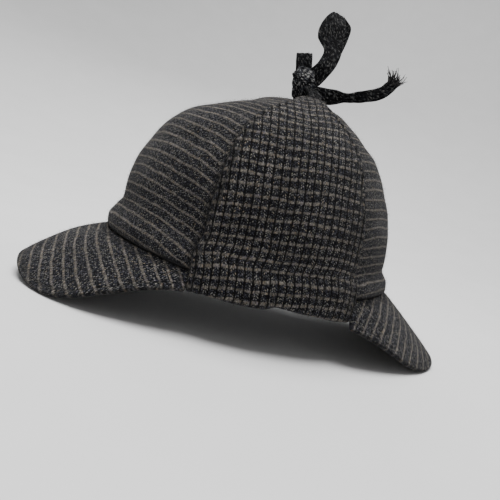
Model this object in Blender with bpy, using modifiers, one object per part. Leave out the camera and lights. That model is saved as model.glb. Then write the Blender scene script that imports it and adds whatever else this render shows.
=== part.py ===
"""Deerstalker hat with its ear flaps folded up and tied over the crown.

The hat rests on the front and rear peaks, as it would on a table. Lengths are metres.
The wearer faces -Y and the wearer's left is +X. Angles run round the crown in degrees,
from 0 at the front centre through 90 at the left ear to 180 at the back centre.
A path is the share of the way up the crown's cloth, 0 at the rim and 1 at the top.
"""

import math

import bmesh
import bpy
import numpy as np
from mathutils import Vector

# Crown
CROWN_HALF_WIDTH = 0.0810
CROWN_HALF_LENGTH = 0.1056
CROWN_HEIGHT = 0.1170
CROWN_CLOTH = 0.0025
RIM_DIP_BROAD = 0.0070
RIM_DIP_EAR = 0.0050
PANEL_PUFF = 0.0010
SEAM_ANGLES = (0.0, 68.0, 118.0, 180.0)
PANEL_GAP = 0.0004
PANEL_TOP_PATH = 0.996
PANEL_COLUMNS = 8
PANEL_ROWS = 18

# Ear flaps
FLAP_CLOTH = 0.0026
FLAP_CLEARANCE = 0.0004
FLAP_DROP = 0.0204
FLAP_INNER_SHARE = 0.045
FLAP_FRONT_ANGLE = 65.0
FLAP_REAR_ANGLE = 125.5
FLAP_TIP_SHARE = 0.900
FLAP_COLUMNS = 11
FLAP_LEG_ROWS = 2
FLAP_BEND_ROWS = 5
FLAP_BODY_ROWS = 15

# Peaks
PEAK_THICKNESS = 0.0036
PEAK_EDGE_ROUND = 0.0011
PEAK_TUCK = 0.0016
PEAK_SEAM_DROP = 0.0006
PEAK_END_CLEARANCE = 0.0006
PEAK_COLUMNS = 22
PEAK_ROWS = 6
FRONT_PEAK_REACH = 0.1598
FRONT_PEAK_HALF_WIDTH = 0.0796
FRONT_PEAK_SHOULDER = 0.0446
FRONT_PEAK_DROP = 0.0434
FRONT_PEAK_BULGE = 0.0044
FRONT_PEAK_HALF_ANGLE = 66.0
FRONT_PEAK_SQUARENESS = 2.11
REAR_PEAK_REACH = 0.1626
REAR_PEAK_HALF_WIDTH = 0.0762
REAR_PEAK_SHOULDER = 0.0460
REAR_PEAK_DROP = 0.0488
REAR_PEAK_BULGE = 0.0013
REAR_PEAK_HALF_ANGLE = 60.0
REAR_PEAK_SQUARENESS = 2.0

# Ties
TAPE_WIDTH = 0.0130
TAPE_THICKNESS = 0.0014
TAPE_COLUMNS = 2
TAPE_SEAT_GAP = 0.00086
KNOT_HALF_DEPTH = 0.0070
KNOT_HALF_LENGTH = 0.0090
KNOT_HALF_HEIGHT = 0.0085
KNOT_ABOVE_CROWN = 0.0125
KNOT_SIDE = 0.0010
KNOT_FORWARD = 0.0030
BASE_ARCH = 0.0008
SHORT_LOOP_RISE = 0.0125
SHORT_LOOP_START = (-0.0015, -0.0025, 0.0)
TALL_LOOP_RISE = 0.0460
TALL_LOOP_START = (0.0020, 0.0050, 0.0)
TAIL_REACH = 0.0560

# Where each tape leaves the knot, as a direction from the knot's middle, then the
# direction across the tape there and its width as a share of the full tape
BASE_SEATS = (
    (0.80, 0.55, -0.42, -0.38, 0.92, 0.0, 0.70),
    (-0.80, -0.25, -0.42, 0.0, 1.0, 0.0, 0.70),
)
SHORT_LOOP_SEATS = (
    (-0.20, -0.30, 1.00, 0.0, 0.98, 0.20, 0.80),
    (-0.60, -0.30, 0.90, 0.0, 0.98, 0.20, 0.80),
)
TALL_LOOP_SEATS = (
    (0.50, 0.85, 0.90, 0.0, 0.84, -0.54, 1.00),
    (0.10, 0.90, 0.90, 0.0, 0.80, -0.60, 1.00),
)
TAIL_SEAT = (0.10, 1.00, -0.55, 0.0, 0.20, 1.00, 0.75)

# One row for each level of the crown: path, then shares of the crown's height,
# of its half length towards the front and the back, and of its half width
CROWN_LEVELS = (
    (0.000, 0.000, 1.000, 1.000, 1.000),
    (0.034, 0.050, 1.005, 0.991, 1.000),
    (0.092, 0.124, 0.966, 0.932, 0.963),
    (0.133, 0.182, 0.931, 0.930, 0.950),
    (0.224, 0.314, 0.926, 0.914, 0.950),
    (0.282, 0.397, 0.907, 0.890, 0.938),
    (0.372, 0.521, 0.852, 0.826, 0.900),
    (0.478, 0.661, 0.770, 0.745, 0.825),
    (0.549, 0.744, 0.680, 0.673, 0.750),
    (0.613, 0.802, 0.570, 0.593, 0.675),
    (0.686, 0.860, 0.430, 0.520, 0.575),
    (0.761, 0.909, 0.278, 0.450, 0.463),
    (0.826, 0.950, 0.185, 0.379, 0.338),
    (0.902, 0.983, 0.045, 0.284, 0.188),
    (1.000, 1.000, -0.100, 0.100, 0.000),
)

# One row for each soft dent in the crown: its angle and path, its reach round and
# along the cloth, and its depth as a share of the cloth
CROWN_DENTS = (
    (48.0, 0.42, 7.0, 0.050, 0.55),
    (38.0, 0.36, 9.0, 0.040, -0.35),
    (150.0, 0.30, 12.0, 0.050, 0.40),
)

# One row for each level of a flap's sides: path, then the angles that the front and
# rear sides have there, less those at the rim
FLAP_SIDES = (
    (0.000, 0.0, 0.0),
    (0.620, 0.5, 1.0),
    (0.680, 1.5, -2.5),
    (0.760, 3.0, -10.5),
    (1.000, 8.0, -18.5),
)

# One row for each place along a flap's hem: share of the way from front to rear,
# and how far the hem hangs, as a share of the flap's drop
FLAP_HEM = (
    (0.00, 1.01),
    (0.10, 0.98),
    (0.30, 1.01),
    (0.43, 0.97),
    (0.50, 0.84),
    (0.62, 0.89),
    (0.80, 0.96),
    (0.92, 1.00),
    (1.00, 0.93),
)

# How far each peak's outer edge hangs, as shares of the peak's drop, at equal steps
# from the middle of the peak to its end
FRONT_PEAK_EDGE = (0.813, 1.000, 0.851, 0.439)
REAR_PEAK_EDGE = (0.934, 1.000, 0.740, 0.415)

# One row for each station of a tape, in turn: its place, as shares of the tape's reach
# towards the left, the back and up, then the direction across the tape and its width as
# a share of the full tape
SHORT_LOOP = (
    (0.016, -0.109, 0.500, 0.00, 0.97, 0.25, 0.93),
    (-0.120, -0.172, 0.930, 0.00, 0.97, 0.25, 0.91),
    (-0.296, -0.036, 0.500, 0.00, 0.97, 0.25, 0.90),
)
TALL_LOOP = (
    (0.057, 0.135, 0.146, 0.00, 1.00, 0.03, 1.05),
    (-0.011, 0.195, 0.398, -0.07, 0.98, 0.19, 1.05),
    (-0.065, 0.119, 0.580, -0.10, 0.97, 0.20, 1.48),
    (-0.098, 0.120, 0.787, -0.15, 0.96, 0.22, 1.51),
    (-0.196, 0.181, 0.985, -0.19, 0.97, -0.12, 0.82),
    (-0.283, 0.301, 0.896, -0.14, 0.99, 0.02, 1.09),
    (-0.272, 0.286, 0.670, -0.06, 0.98, 0.21, 1.20),
    (-0.152, 0.231, 0.400, -0.08, 0.99, 0.14, 1.02),
    (-0.054, 0.144, 0.150, 0.00, 1.00, 0.07, 1.05),
)
TAIL = (
    (0.020, 0.180, 0.000, 0.00, 0.10, 1.00, 0.92),
    (0.057, 0.396, 0.041, 0.75, 0.00, 0.60, 0.70),
    (0.075, 0.630, 0.121, 0.45, -0.10, 0.88, 0.70),
    (0.075, 0.825, 0.210, 0.30, -0.35, 0.88, 0.70),
    (0.075, 0.930, 0.318, 0.30, -0.80, 0.50, 0.70),
    (0.075, 0.977, 0.416, 0.30, -0.95, 0.10, 0.70),
)

COLLECTION_NAME = "deerstalker_hat"
TWEED_COLOUR = (0.035, 0.033, 0.032)
TAPE_COLOUR = (0.014, 0.014, 0.015)


def read_table(rows, column, place):
    """A smooth value from one column of a table whose first column rises."""
    knots = np.array([row[0] for row in rows], dtype=float)
    values = np.array([row[column] for row in rows], dtype=float)
    steps = np.diff(knots)
    slopes = np.diff(values) / steps
    tangents = np.zeros(len(knots))
    tangents[0] = slopes[0]
    tangents[-1] = slopes[-1]
    for i in range(1, len(knots) - 1):
        before = slopes[i - 1]
        after = slopes[i]
        if before * after > 0.0:
            first = 2.0 * steps[i] + steps[i - 1]
            second = steps[i] + 2.0 * steps[i - 1]
            tangents[i] = (first + second) / (first / before + second / after)
    place = min(max(place, knots[0]), knots[-1])
    i = min(int(np.searchsorted(knots, place, side="right")) - 1, len(steps) - 1)
    s = (place - knots[i]) / steps[i]
    rise = s * s * (3.0 - 2.0 * s)
    start_bend = s * (1.0 - s) ** 2 * steps[i] * tangents[i]
    end_bend = s * s * (s - 1.0) * steps[i] * tangents[i + 1]
    return float(values[i] + rise * (values[i + 1] - values[i]) + start_bend + end_bend)


def even_curve(values, angle):
    """A smooth curve through values at equal steps from 0 to 90 degrees, level at both."""
    last = len(values) - 1
    total = 0.0
    for wave in range(last + 1):
        height = 0.0
        for i, value in enumerate(values):
            weight = 0.5 if i in (0, last) else 1.0
            height += weight * value * math.cos(math.pi * wave * i / last)
        if wave not in (0, last):
            height *= 2.0
        total += height / last * math.cos(math.radians(2.0 * wave * angle))
    return total


def blend(start, end, share):
    """The value or point that lies a share of the way from start to end."""
    return start + (end - start) * share


def rim_height(angle):
    """Height of the crown's lower edge, which dips over the ears."""
    side = abs(math.sin(math.radians(angle)))
    return -RIM_DIP_BROAD * side ** 2 - RIM_DIP_EAR * side ** 12


def crown_base(angle, path):
    """A point of the crown's smooth outer form, without puffed panels or dents."""
    height, front, back, side = (read_table(CROWN_LEVELS, i, path) for i in range(1, 5))
    turn = math.radians(angle)
    middle = CROWN_HALF_LENGTH * (back - front) / 2.0
    reach = CROWN_HALF_LENGTH * (back + front) / 2.0
    x = CROWN_HALF_WIDTH * side * math.sin(turn)
    y = middle - reach * math.cos(turn)
    z = CROWN_HEIGHT * height + rim_height(angle) * (1.0 - path) ** 2
    return Vector((x, y, z))


def crown_normal(angle, path):
    """The outward direction of the crown's smooth form."""
    top_path = 0.985
    turn_step = 0.5
    path_step = 0.004
    path = min(path, top_path)
    around = crown_base(angle + turn_step, path) - crown_base(angle - turn_step, path)
    low = max(path - path_step, 0.0)
    upward = crown_base(angle, path + path_step) - crown_base(angle, low)
    return around.cross(upward).normalized()


def panel_form(angle, path):
    """How far the cloth stands out of the smooth form, from its puff and dents."""
    folded = abs((angle + 180.0) % 360.0 - 180.0)
    panel = min(int(np.searchsorted(SEAM_ANGLES, folded, side="right")), len(SEAM_ANGLES) - 1)
    start_angle = SEAM_ANGLES[panel - 1]
    across = (folded - start_angle) / (SEAM_ANGLES[panel] - start_angle)
    fade_length = 0.3
    fullness = 0.8
    fade = min(1.0, (1.0 - path) / fade_length)
    form = PANEL_PUFF * abs(math.sin(math.pi * across)) ** fullness * fade
    for dent_angle, dent_path, reach, length, depth in CROWN_DENTS:
        away = ((folded - dent_angle) / reach) ** 2 + ((path - dent_path) / length) ** 2
        form -= depth * CROWN_CLOTH * math.exp(-away)
    return form


def crown_point(angle, path, out=0.0):
    """A point that stands out from the crown's smooth form by a distance."""
    return crown_base(angle, path) + crown_normal(angle, path) * out


def wall_point(angle, height, out):
    """A point below or beside the rim, at a height, in line with the crown's wall."""
    turn = math.radians(angle)
    outward = Vector((math.sin(turn) * CROWN_HALF_LENGTH, -math.cos(turn) * CROWN_HALF_WIDTH, 0.0))
    rim = Vector((CROWN_HALF_WIDTH * math.sin(turn), -CROWN_HALF_LENGTH * math.cos(turn), height))
    return rim + outward.normalized() * out


def new_object(name, mesh, material):
    """Put a mesh in the hat's collection as a named object with its material."""
    mesh.materials.append(material)
    piece = bpy.data.objects.new(name, mesh)
    bpy.data.collections[COLLECTION_NAME].objects.link(piece)
    piece.parent = bpy.data.objects["hat_rest"]
    return piece


def mapped_sheet(name, columns, rows, place, material, mirrored=False):
    """A grid whose vertices are placed by a function of two shares from 0 to 1."""
    merge_distance = 0.00002
    mesh = bpy.data.meshes.new(name)
    sheet = bmesh.new()
    bmesh.ops.create_grid(sheet, x_segments=columns, y_segments=rows, size=1.0)
    for vertex in sheet.verts:
        u = (vertex.co.x + 1.0) / 2.0
        v = (vertex.co.y + 1.0) / 2.0
        point = place(u, v)
        if mirrored:
            point.x = -point.x
        vertex.co = point
    bmesh.ops.remove_doubles(sheet, verts=sheet.verts, dist=merge_distance)
    if mirrored:
        bmesh.ops.reverse_faces(sheet, faces=sheet.faces)
    sheet.to_mesh(mesh)
    sheet.free()
    mesh.shade_smooth()
    return new_object(name, mesh, material)


def add_thickness(piece, thickness, offset):
    """Give a sheet its cloth: offset -1 grows inward, 0 both ways, 1 outward."""
    corner_limit = 1.5
    solid = piece.modifiers.new("cloth", "SOLIDIFY")
    solid.thickness = thickness
    solid.offset = offset
    solid.use_even_offset = True
    solid.use_quality_normals = True
    solid.thickness_clamp = corner_limit


def round_edges(piece, radius, segments):
    """Round the sharp edges of a thick sheet."""
    sharp_angle = 50.0
    rounding = piece.modifiers.new("rounded", "BEVEL")
    rounding.width = radius
    rounding.segments = segments
    rounding.limit_method = "ANGLE"
    rounding.angle_limit = math.radians(sharp_angle)


def make_crown_panel(name, start_angle, end_angle, mirrored, material):
    """One cut panel of the crown, from the rim to its point at the top."""
    half_span = (end_angle - start_angle) / 2.0

    def place(u, v):
        path = PANEL_TOP_PATH * v
        radius = max(abs(crown_base(90.0, path).x), PANEL_GAP)
        margin = min(math.degrees(PANEL_GAP / 2.0 / radius), half_span)
        if round(v * PANEL_ROWS) == PANEL_ROWS:
            margin = half_span
        angle = blend(start_angle + margin, end_angle - margin, u)
        return crown_point(angle, path, panel_form(angle, path))

    panel = mapped_sheet(name, PANEL_COLUMNS, PANEL_ROWS, place, material, mirrored)
    add_thickness(panel, CROWN_CLOTH, -1.0)
    return panel


def flap_angle(share, path):
    """The angle at a share of the way across a flap, from its front side to its rear."""
    front = FLAP_FRONT_ANGLE + read_table(FLAP_SIDES, 1, path)
    rear = FLAP_REAR_ANGLE + read_table(FLAP_SIDES, 2, path)
    return blend(front, rear, share)


def make_ear_flap(name, mirrored, material):
    """A flap that wraps the rim in a U-shaped hem and lies up over the crown."""
    outer = PANEL_PUFF + FLAP_CLEARANCE + FLAP_CLOTH / 2.0
    inner = -(CROWN_CLOTH + FLAP_CLEARANCE + FLAP_CLOTH / 2.0)
    bend = (outer - inner) / 2.0
    bend_start = FLAP_LEG_ROWS + 1
    body_start = bend_start + FLAP_BEND_ROWS + 1
    rows = body_start + FLAP_BODY_ROWS

    def place(u, v):
        row = round(v * rows)
        angle = flap_angle(u, 0.0)
        hem = -FLAP_DROP * read_table(FLAP_HEM, 1, u)
        centre = hem + FLAP_CLOTH / 2.0 + bend
        if row < FLAP_LEG_ROWS:
            return crown_point(angle, FLAP_INNER_SHARE * (1.0 - row / FLAP_LEG_ROWS), inner)
        if row < bend_start:
            return wall_point(angle, rim_height(angle), inner)
        if row < body_start:
            turn = math.pi * (row - bend_start) / FLAP_BEND_ROWS
            out = (outer + inner) / 2.0 - bend * math.cos(turn)
            return wall_point(angle, centre - bend * math.sin(turn), out)
        path = FLAP_TIP_SHARE * (row - body_start) / FLAP_BODY_ROWS
        return crown_point(flap_angle(u, path), path, outer)

    flap = mapped_sheet(name, FLAP_COLUMNS, rows, place, material, mirrored)
    add_thickness(flap, FLAP_CLOTH, 0.0)
    return flap


def superellipse(angle, squareness):
    """The two unit reaches, sideways and forward, of a squarish half ellipse."""
    turn = math.radians(angle)
    side = math.copysign(abs(math.sin(turn)) ** (2.0 / squareness), turn)
    return side, abs(math.cos(turn)) ** (2.0 / squareness)


def peak_outer_edge(angle, sizes):
    """A point of a front-facing peak's outer edge, at degrees from its middle."""
    side, forward = superellipse(angle, sizes["squareness"])
    x = sizes["half_width"] * side
    y = -sizes["shoulder"] - (sizes["reach"] - sizes["shoulder"]) * forward
    z = -sizes["drop"] * even_curve(sizes["edge"], angle)
    return Vector((x, y, z))


def peak_end_angle(sizes, crown_angle):
    """Degrees from the peak's middle where its outer edge meets the flap's side."""
    low = 0.0
    high = 90.0
    for _ in range(40):
        middle = (low + high) / 2.0
        edge = peak_outer_edge(middle, sizes)
        turned = math.degrees(math.atan2(edge.x / CROWN_HALF_WIDTH, -edge.y / CROWN_HALF_LENGTH))
        if turned < crown_angle:
            low = middle
        else:
            high = middle
    return low


def make_peak(name, sizes, backward, material):
    """A stiff cloth peak, ruled from the rim to its outer edge, which droops at the sides."""
    end_angle = peak_end_angle(sizes, sizes["crown_angle"])

    def place(u, v):
        angle = blend(-end_angle, end_angle, u)
        crown_angle = sizes["half_angle"] * angle / 90.0
        root = wall_point(crown_angle, rim_height(crown_angle) - PEAK_SEAM_DROP, -PEAK_TUCK)
        point = blend(root, peak_outer_edge(angle, sizes), v)
        lift = 4.0 * v * (1.0 - v) * math.cos(math.radians(angle)) ** 2
        point.z += sizes["bulge"] * lift
        if backward:
            point.y = -point.y
        return point

    peak = mapped_sheet(name, PEAK_COLUMNS, PEAK_ROWS, place, material)
    if not backward:
        peak.data.flip_normals()
    add_thickness(peak, PEAK_THICKNESS, -1.0)
    round_edges(peak, PEAK_EDGE_ROUND, 2)
    return peak


def knot_centre():
    """The middle of the knot, over the crown's top."""
    return crown_base(0.0, 1.0) + Vector((KNOT_SIDE, -KNOT_FORWARD, KNOT_ABOVE_CROWN))


def make_knot(material):
    """The drawn-up knot as a rounded lump."""
    mesh = bpy.data.meshes.new("tie_knot")
    lump = bmesh.new()
    bmesh.ops.create_uvsphere(lump, u_segments=16, v_segments=10, radius=1.0)
    for vertex in lump.verts:
        vertex.co.x *= KNOT_HALF_DEPTH
        vertex.co.y *= KNOT_HALF_LENGTH
        vertex.co.z *= KNOT_HALF_HEIGHT
    lump.to_mesh(mesh)
    lump.free()
    mesh.shade_smooth()
    knot = new_object("tie_knot", mesh, material)
    knot.location = knot_centre()
    return knot


def knot_seat(seat):
    """The tape station just off the knot's surface that a row of seat values gives."""
    unit = Vector(seat[:3]).normalized()
    scaled = Vector((unit.x / KNOT_HALF_DEPTH, unit.y / KNOT_HALF_LENGTH, unit.z / KNOT_HALF_HEIGHT))
    middle = knot_centre() + unit * (1.0 / scaled.length + TAPE_SEAT_GAP)
    return middle, seat[3:6], seat[6] * TAPE_WIDTH


def smooth_route(points, share):
    """A point of a smooth curve through points, at a share of the way along them."""
    count = len(points) - 1
    place = min(max(share, 0.0), 1.0) * count
    i = min(int(place), count - 1)
    s = place - i
    before = points[i - 1] if i > 0 else points[0] * 2.0 - points[1]
    after = points[i + 2] if i + 2 <= count else points[count] * 2.0 - points[count - 1]
    start = points[i]
    end = points[i + 1]
    a = (end - before) * 0.5
    b = (after - start) * 0.5
    return (
        start * (2.0 * s ** 3 - 3.0 * s ** 2 + 1.0)
        + a * (s ** 3 - 2.0 * s ** 2 + s)
        + end * (-2.0 * s ** 3 + 3.0 * s ** 2)
        + b * (s ** 3 - s ** 2)
    )


def make_tape(name, stations, segments, material):
    """A flat tape through stations, each a middle point, the way across and a width."""
    middles = [Vector(station[0]) for station in stations]
    across = [Vector(station[1]).normalized() for station in stations]
    widths = [Vector((station[2], 0.0, 0.0)) for station in stations]

    def place(u, v):
        middle = smooth_route(middles, v)
        direction = smooth_route(across, v).normalized()
        width = smooth_route(widths, v).x
        return middle + direction * width * (u - 0.5)

    tape = mapped_sheet(name, TAPE_COLUMNS, segments, place, material)
    add_thickness(tape, TAPE_THICKNESS, 0.0)
    return tape


def stations_from(rows, start, reach):
    """Tape stations whose places are a table's shares of a reach, from a start point."""
    stations = []
    for left, back, up, across_x, across_y, across_z, width in rows:
        middle = start + Vector((left, back, up)) * reach
        stations.append((middle, (across_x, across_y, across_z), width * TAPE_WIDTH))
    return stations


def make_tie_base(name, mirrored, segments, material):
    """The tape that runs from a flap's tip up to the knot."""
    outer = PANEL_PUFF + FLAP_CLEARANCE + FLAP_CLOTH / 2.0
    step_up = 0.004
    tip_shares = (0.40, 1.12)
    middle_width = 0.90
    side = -1.0 if mirrored else 1.0
    corners = []
    for share in tip_shares:
        angle = flap_angle(share, FLAP_TIP_SHARE)
        corner = crown_point(angle, FLAP_TIP_SHARE + step_up, outer)
        corner.x *= side
        corners.append(corner)
    start = blend(corners[0], corners[1], 0.5)
    across = corners[1] - corners[0]
    end = knot_seat(BASE_SEATS[1] if mirrored else BASE_SEATS[0])
    middle = blend(start, end[0], 0.5) + Vector((0.0, 0.0, BASE_ARCH))
    stations = [
        (start, across, min(TAPE_WIDTH, across.length)),
        (middle, across, middle_width * TAPE_WIDTH),
        end,
    ]
    return make_tape(name, stations, segments, material)


def make_ties(material):
    """The knot over the crown with its two bases, its two loops and its loose end."""
    make_knot(material)
    make_tie_base("tie_base_left", False, 6, material)
    make_tie_base("tie_base_right", True, 6, material)
    crest = knot_centre() + Vector((0.0, 0.0, KNOT_HALF_HEIGHT))
    loops = (
        ("tie_loop_short", SHORT_LOOP_SEATS, SHORT_LOOP, SHORT_LOOP_START, SHORT_LOOP_RISE, 16),
        ("tie_loop_tall", TALL_LOOP_SEATS, TALL_LOOP, TALL_LOOP_START, TALL_LOOP_RISE, 34),
    )
    for name, seats, rows, offset, rise, segments in loops:
        stations = stations_from(rows, crest + Vector(offset), rise)
        stations = [knot_seat(seats[0]), *stations, knot_seat(seats[1])]
        make_tape(name, stations, segments, material)
    seat = knot_seat(TAIL_SEAT)
    make_tape("tie_tail", [seat, *stations_from(TAIL, seat[0], TAIL_REACH)], 20, material)


def new_material(name, colour, roughness):
    """A plain cloth material."""
    material = bpy.data.materials.new(name)
    material.use_nodes = True
    shader = material.node_tree.nodes["Principled BSDF"]
    shader.inputs["Base Color"].default_value = (*colour, 1.0)
    shader.inputs["Roughness"].default_value = roughness
    shader.inputs["Metallic"].default_value = 0.0
    return material


def start_scene():
    """Remove what the scene holds, and add the hat's collection and resting frame."""
    for piece in list(bpy.data.objects):
        bpy.data.objects.remove(piece, do_unlink=True)
    group = bpy.data.collections.new(COLLECTION_NAME)
    bpy.context.scene.collection.children.link(group)
    rest = bpy.data.objects.new("hat_rest", None)
    group.objects.link(rest)
    return rest


def world_points(piece):
    """The corners of a finished piece's mesh, in the world."""
    bpy.context.view_layer.update()
    graph = bpy.context.evaluated_depsgraph_get()
    seen = piece.evaluated_get(graph)
    mesh = seen.to_mesh()
    flat = np.empty(len(mesh.vertices) * 3)
    mesh.vertices.foreach_get("co", flat)
    seen.to_mesh_clear()
    matrix = np.array(piece.matrix_world)
    return flat.reshape(-1, 3) @ matrix[:3, :3].T + matrix[:3, 3]


def set_down(rest, front_peak, rear_peak):
    """Tilt the hat until both peaks touch the ground, and centre it over the origin."""
    for _ in range(3):
        front = world_points(front_peak)
        rear = world_points(rear_peak)
        low_front = front[front[:, 2].argmin()]
        low_rear = rear[rear[:, 2].argmin()]
        slope = math.atan2(low_rear[2] - low_front[2], low_rear[1] - low_front[1])
        rest.rotation_euler.x -= slope
    pieces = [piece for piece in bpy.data.collections[COLLECTION_NAME].objects if piece != rest]
    points = np.vstack([world_points(piece) for piece in pieces])
    low = points.min(axis=0)
    high = points.max(axis=0)
    rest.location = Vector((-(low[0] + high[0]) / 2.0, -(low[1] + high[1]) / 2.0, -low[2]))


def main():
    """Build the hat, piece by piece, and set it down."""
    rest = start_scene()
    tweed = new_material("Tweed", TWEED_COLOUR, 0.92)
    tape = new_material("Knitted tape", TAPE_COLOUR, 0.90)

    for place, start, end in zip(("front", "side", "back"), SEAM_ANGLES, SEAM_ANGLES[1:]):
        make_crown_panel(f"crown_{place}_left", start, end, False, tweed)
        make_crown_panel(f"crown_{place}_right", start, end, True, tweed)
    make_ear_flap("ear_flap_left", False, tweed)
    make_ear_flap("ear_flap_right", True, tweed)

    end_clearance = math.degrees(PEAK_END_CLEARANCE / CROWN_HALF_WIDTH)
    front_sizes = {
        "reach": FRONT_PEAK_REACH,
        "half_width": FRONT_PEAK_HALF_WIDTH,
        "shoulder": FRONT_PEAK_SHOULDER,
        "drop": FRONT_PEAK_DROP,
        "bulge": FRONT_PEAK_BULGE,
        "half_angle": FRONT_PEAK_HALF_ANGLE,
        "squareness": FRONT_PEAK_SQUARENESS,
        "edge": FRONT_PEAK_EDGE,
        "crown_angle": FLAP_FRONT_ANGLE - end_clearance,
    }
    rear_sizes = {
        "reach": REAR_PEAK_REACH,
        "half_width": REAR_PEAK_HALF_WIDTH,
        "shoulder": REAR_PEAK_SHOULDER,
        "drop": REAR_PEAK_DROP,
        "bulge": REAR_PEAK_BULGE,
        "half_angle": REAR_PEAK_HALF_ANGLE,
        "squareness": REAR_PEAK_SQUARENESS,
        "edge": REAR_PEAK_EDGE,
        "crown_angle": 180.0 - FLAP_REAR_ANGLE - end_clearance,
    }
    front_peak = make_peak("front_peak", front_sizes, False, tweed)
    rear_peak = make_peak("rear_peak", rear_sizes, True, tweed)

    make_ties(tape)
    set_down(rest, front_peak, rear_peak)


main()
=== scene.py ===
"""A tweed deerstalker, its ear flaps tied up over the crown, resting on its two peaks.

Lengths are metres unless a name ends in _mm. The hat's own frame has its origin in the
middle of the rim: the wearer faces -Y and the wearer's left is +X. Angles run round the
crown in degrees, from 0 at the front through 90 at the left ear to 180 at the back. A path
is the share of the way up the crown's cloth, 0 at the rim and 1 at the top.
"""

import logging
import math
from dataclasses import dataclass, replace
from enum import Enum
from typing import Any

import bpy
import numpy as np
from mathutils import Matrix

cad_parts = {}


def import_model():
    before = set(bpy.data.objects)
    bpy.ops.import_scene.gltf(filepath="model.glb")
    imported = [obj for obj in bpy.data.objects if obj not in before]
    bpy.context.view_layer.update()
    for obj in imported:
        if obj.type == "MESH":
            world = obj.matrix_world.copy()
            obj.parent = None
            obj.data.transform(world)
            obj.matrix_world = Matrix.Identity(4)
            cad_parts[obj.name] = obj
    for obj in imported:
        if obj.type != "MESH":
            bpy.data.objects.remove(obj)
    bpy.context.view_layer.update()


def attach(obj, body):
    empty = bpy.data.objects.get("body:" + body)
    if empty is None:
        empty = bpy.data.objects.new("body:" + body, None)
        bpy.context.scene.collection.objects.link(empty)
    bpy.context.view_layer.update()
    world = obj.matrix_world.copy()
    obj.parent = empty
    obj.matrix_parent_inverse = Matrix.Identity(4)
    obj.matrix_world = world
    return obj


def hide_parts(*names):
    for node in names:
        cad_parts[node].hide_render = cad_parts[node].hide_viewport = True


LOG = logging.getLogger("deerstalker")
BODY = "root"
WEAVE = "weave"
PEAK_GAP = 0.0006
Numbers = tuple[float, ...]
Stops = tuple[tuple[float, str], ...]


def unit(vectors: np.ndarray) -> np.ndarray:
    """Return the vectors at length one."""
    return vectors / np.maximum(np.linalg.norm(vectors, axis=-1, keepdims=True), 1e-9)


def blend(start: Any, end: Any, share: Any) -> Any:
    """Return the value that lies a share of the way from start to end."""
    return start + (end - start) * share


def to_linear(colour: str) -> tuple[float, float, float, float]:
    """Turn an sRGB hex colour into Blender's linear one.

    Args:
        colour: six hex digits after a hash sign.

    Returns:
        Linear red, green, blue and an alpha of one.
    """
    parts = [int(colour[i : i + 2], 16) / 255.0 for i in (1, 3, 5)]
    linear = [p / 12.92 if p <= 0.04045 else ((p + 0.055) / 1.055) ** 2.4 for p in parts]
    return linear[0], linear[1], linear[2], 1.0


def add_node(
    tree: bpy.types.NodeTree,
    kind: str,
    settings: dict[Any, Any] | None = None,
    links: dict[Any, Any] | None = None,
) -> bpy.types.Node:
    """Add a node to a tree.

    Args:
        tree: the material's or the world's nodes.
        kind: the node's type name, without its ShaderNode start.
        settings: values by input number, input name or property name. The stops of a
            ramp are pairs of a place and a hex colour.
        links: what feeds each input: a node, for its first output, or a socket.

    Returns:
        The new node.
    """
    node = tree.nodes.new("ShaderNode" + kind)
    for key, value in (settings or {}).items():
        if key == "stops":
            points = node.color_ramp.elements
            for i, (place, colour) in enumerate(value):
                point = points[i] if i < 2 else points.new(place)
                point.position, point.color = place, to_linear(colour)
        elif isinstance(key, str) and key not in node.inputs:
            setattr(node, key, value)
        else:
            node.inputs[key].default_value = value
    for key, source in (links or {}).items():
        socket = source.outputs[0] if isinstance(source, bpy.types.Node) else source
        tree.links.new(socket, node.inputs[key])
    return node


@dataclass(frozen=True)
class Profile:
    """A smooth curve through the values of a short table, which it never overshoots."""

    places: Numbers
    values: Numbers

    def at(self, place: Any) -> np.ndarray:
        """Read the curve.

        Args:
            place: where to read it, one number or an array.

        Returns:
            The values there.
        """
        knots, values = np.array(self.places), np.array(self.values)
        steps = np.diff(knots)
        slopes = np.diff(values) / steps
        before, after = slopes[:-1], slopes[1:]
        first = 2.0 * steps[1:] + steps[:-1]
        second = steps[1:] + 2.0 * steps[:-1]
        rising = before * after > 0.0
        bends = first / np.where(rising, before, 1.0)
        bends = bends + second / np.where(rising, after, 1.0)
        inner = np.where(rising, (first + second) / np.where(rising, bends, 1.0), 0.0)
        tangents = np.concatenate([slopes[:1], inner, slopes[-1:]])
        place = np.clip(place, knots[0], knots[-1])
        i = np.clip(np.searchsorted(knots, place, side="right") - 1, 0, len(steps) - 1)
        s = (place - knots[i]) / steps[i]
        rise = s * s * (3.0 - 2.0 * s) * (values[i + 1] - values[i])
        leave = s * (1.0 - s) ** 2 * steps[i] * tangents[i]
        arrive = s * s * (s - 1.0) * steps[i] * tangents[i + 1]
        return values[i] + rise + leave + arrive


def even_curve(values: Numbers, angle: np.ndarray) -> np.ndarray:
    """Read a smooth curve through values at equal steps from 0 to 90 degrees.

    Args:
        values: the curve's heights.
        angle: degrees from its level start.

    Returns:
        The heights at those angles.
    """
    last = len(values) - 1
    total = np.zeros_like(angle)
    for wave in range(last + 1):
        height = sum(
            (0.5 if i in (0, last) else 1.0) * value * math.cos(math.pi * wave * i / last)
            for i, value in enumerate(values)
        )
        share = 1.0 if wave in (0, last) else 2.0
        total = total + share * height / last * np.cos(np.radians(2.0 * wave * angle))
    return total


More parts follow.
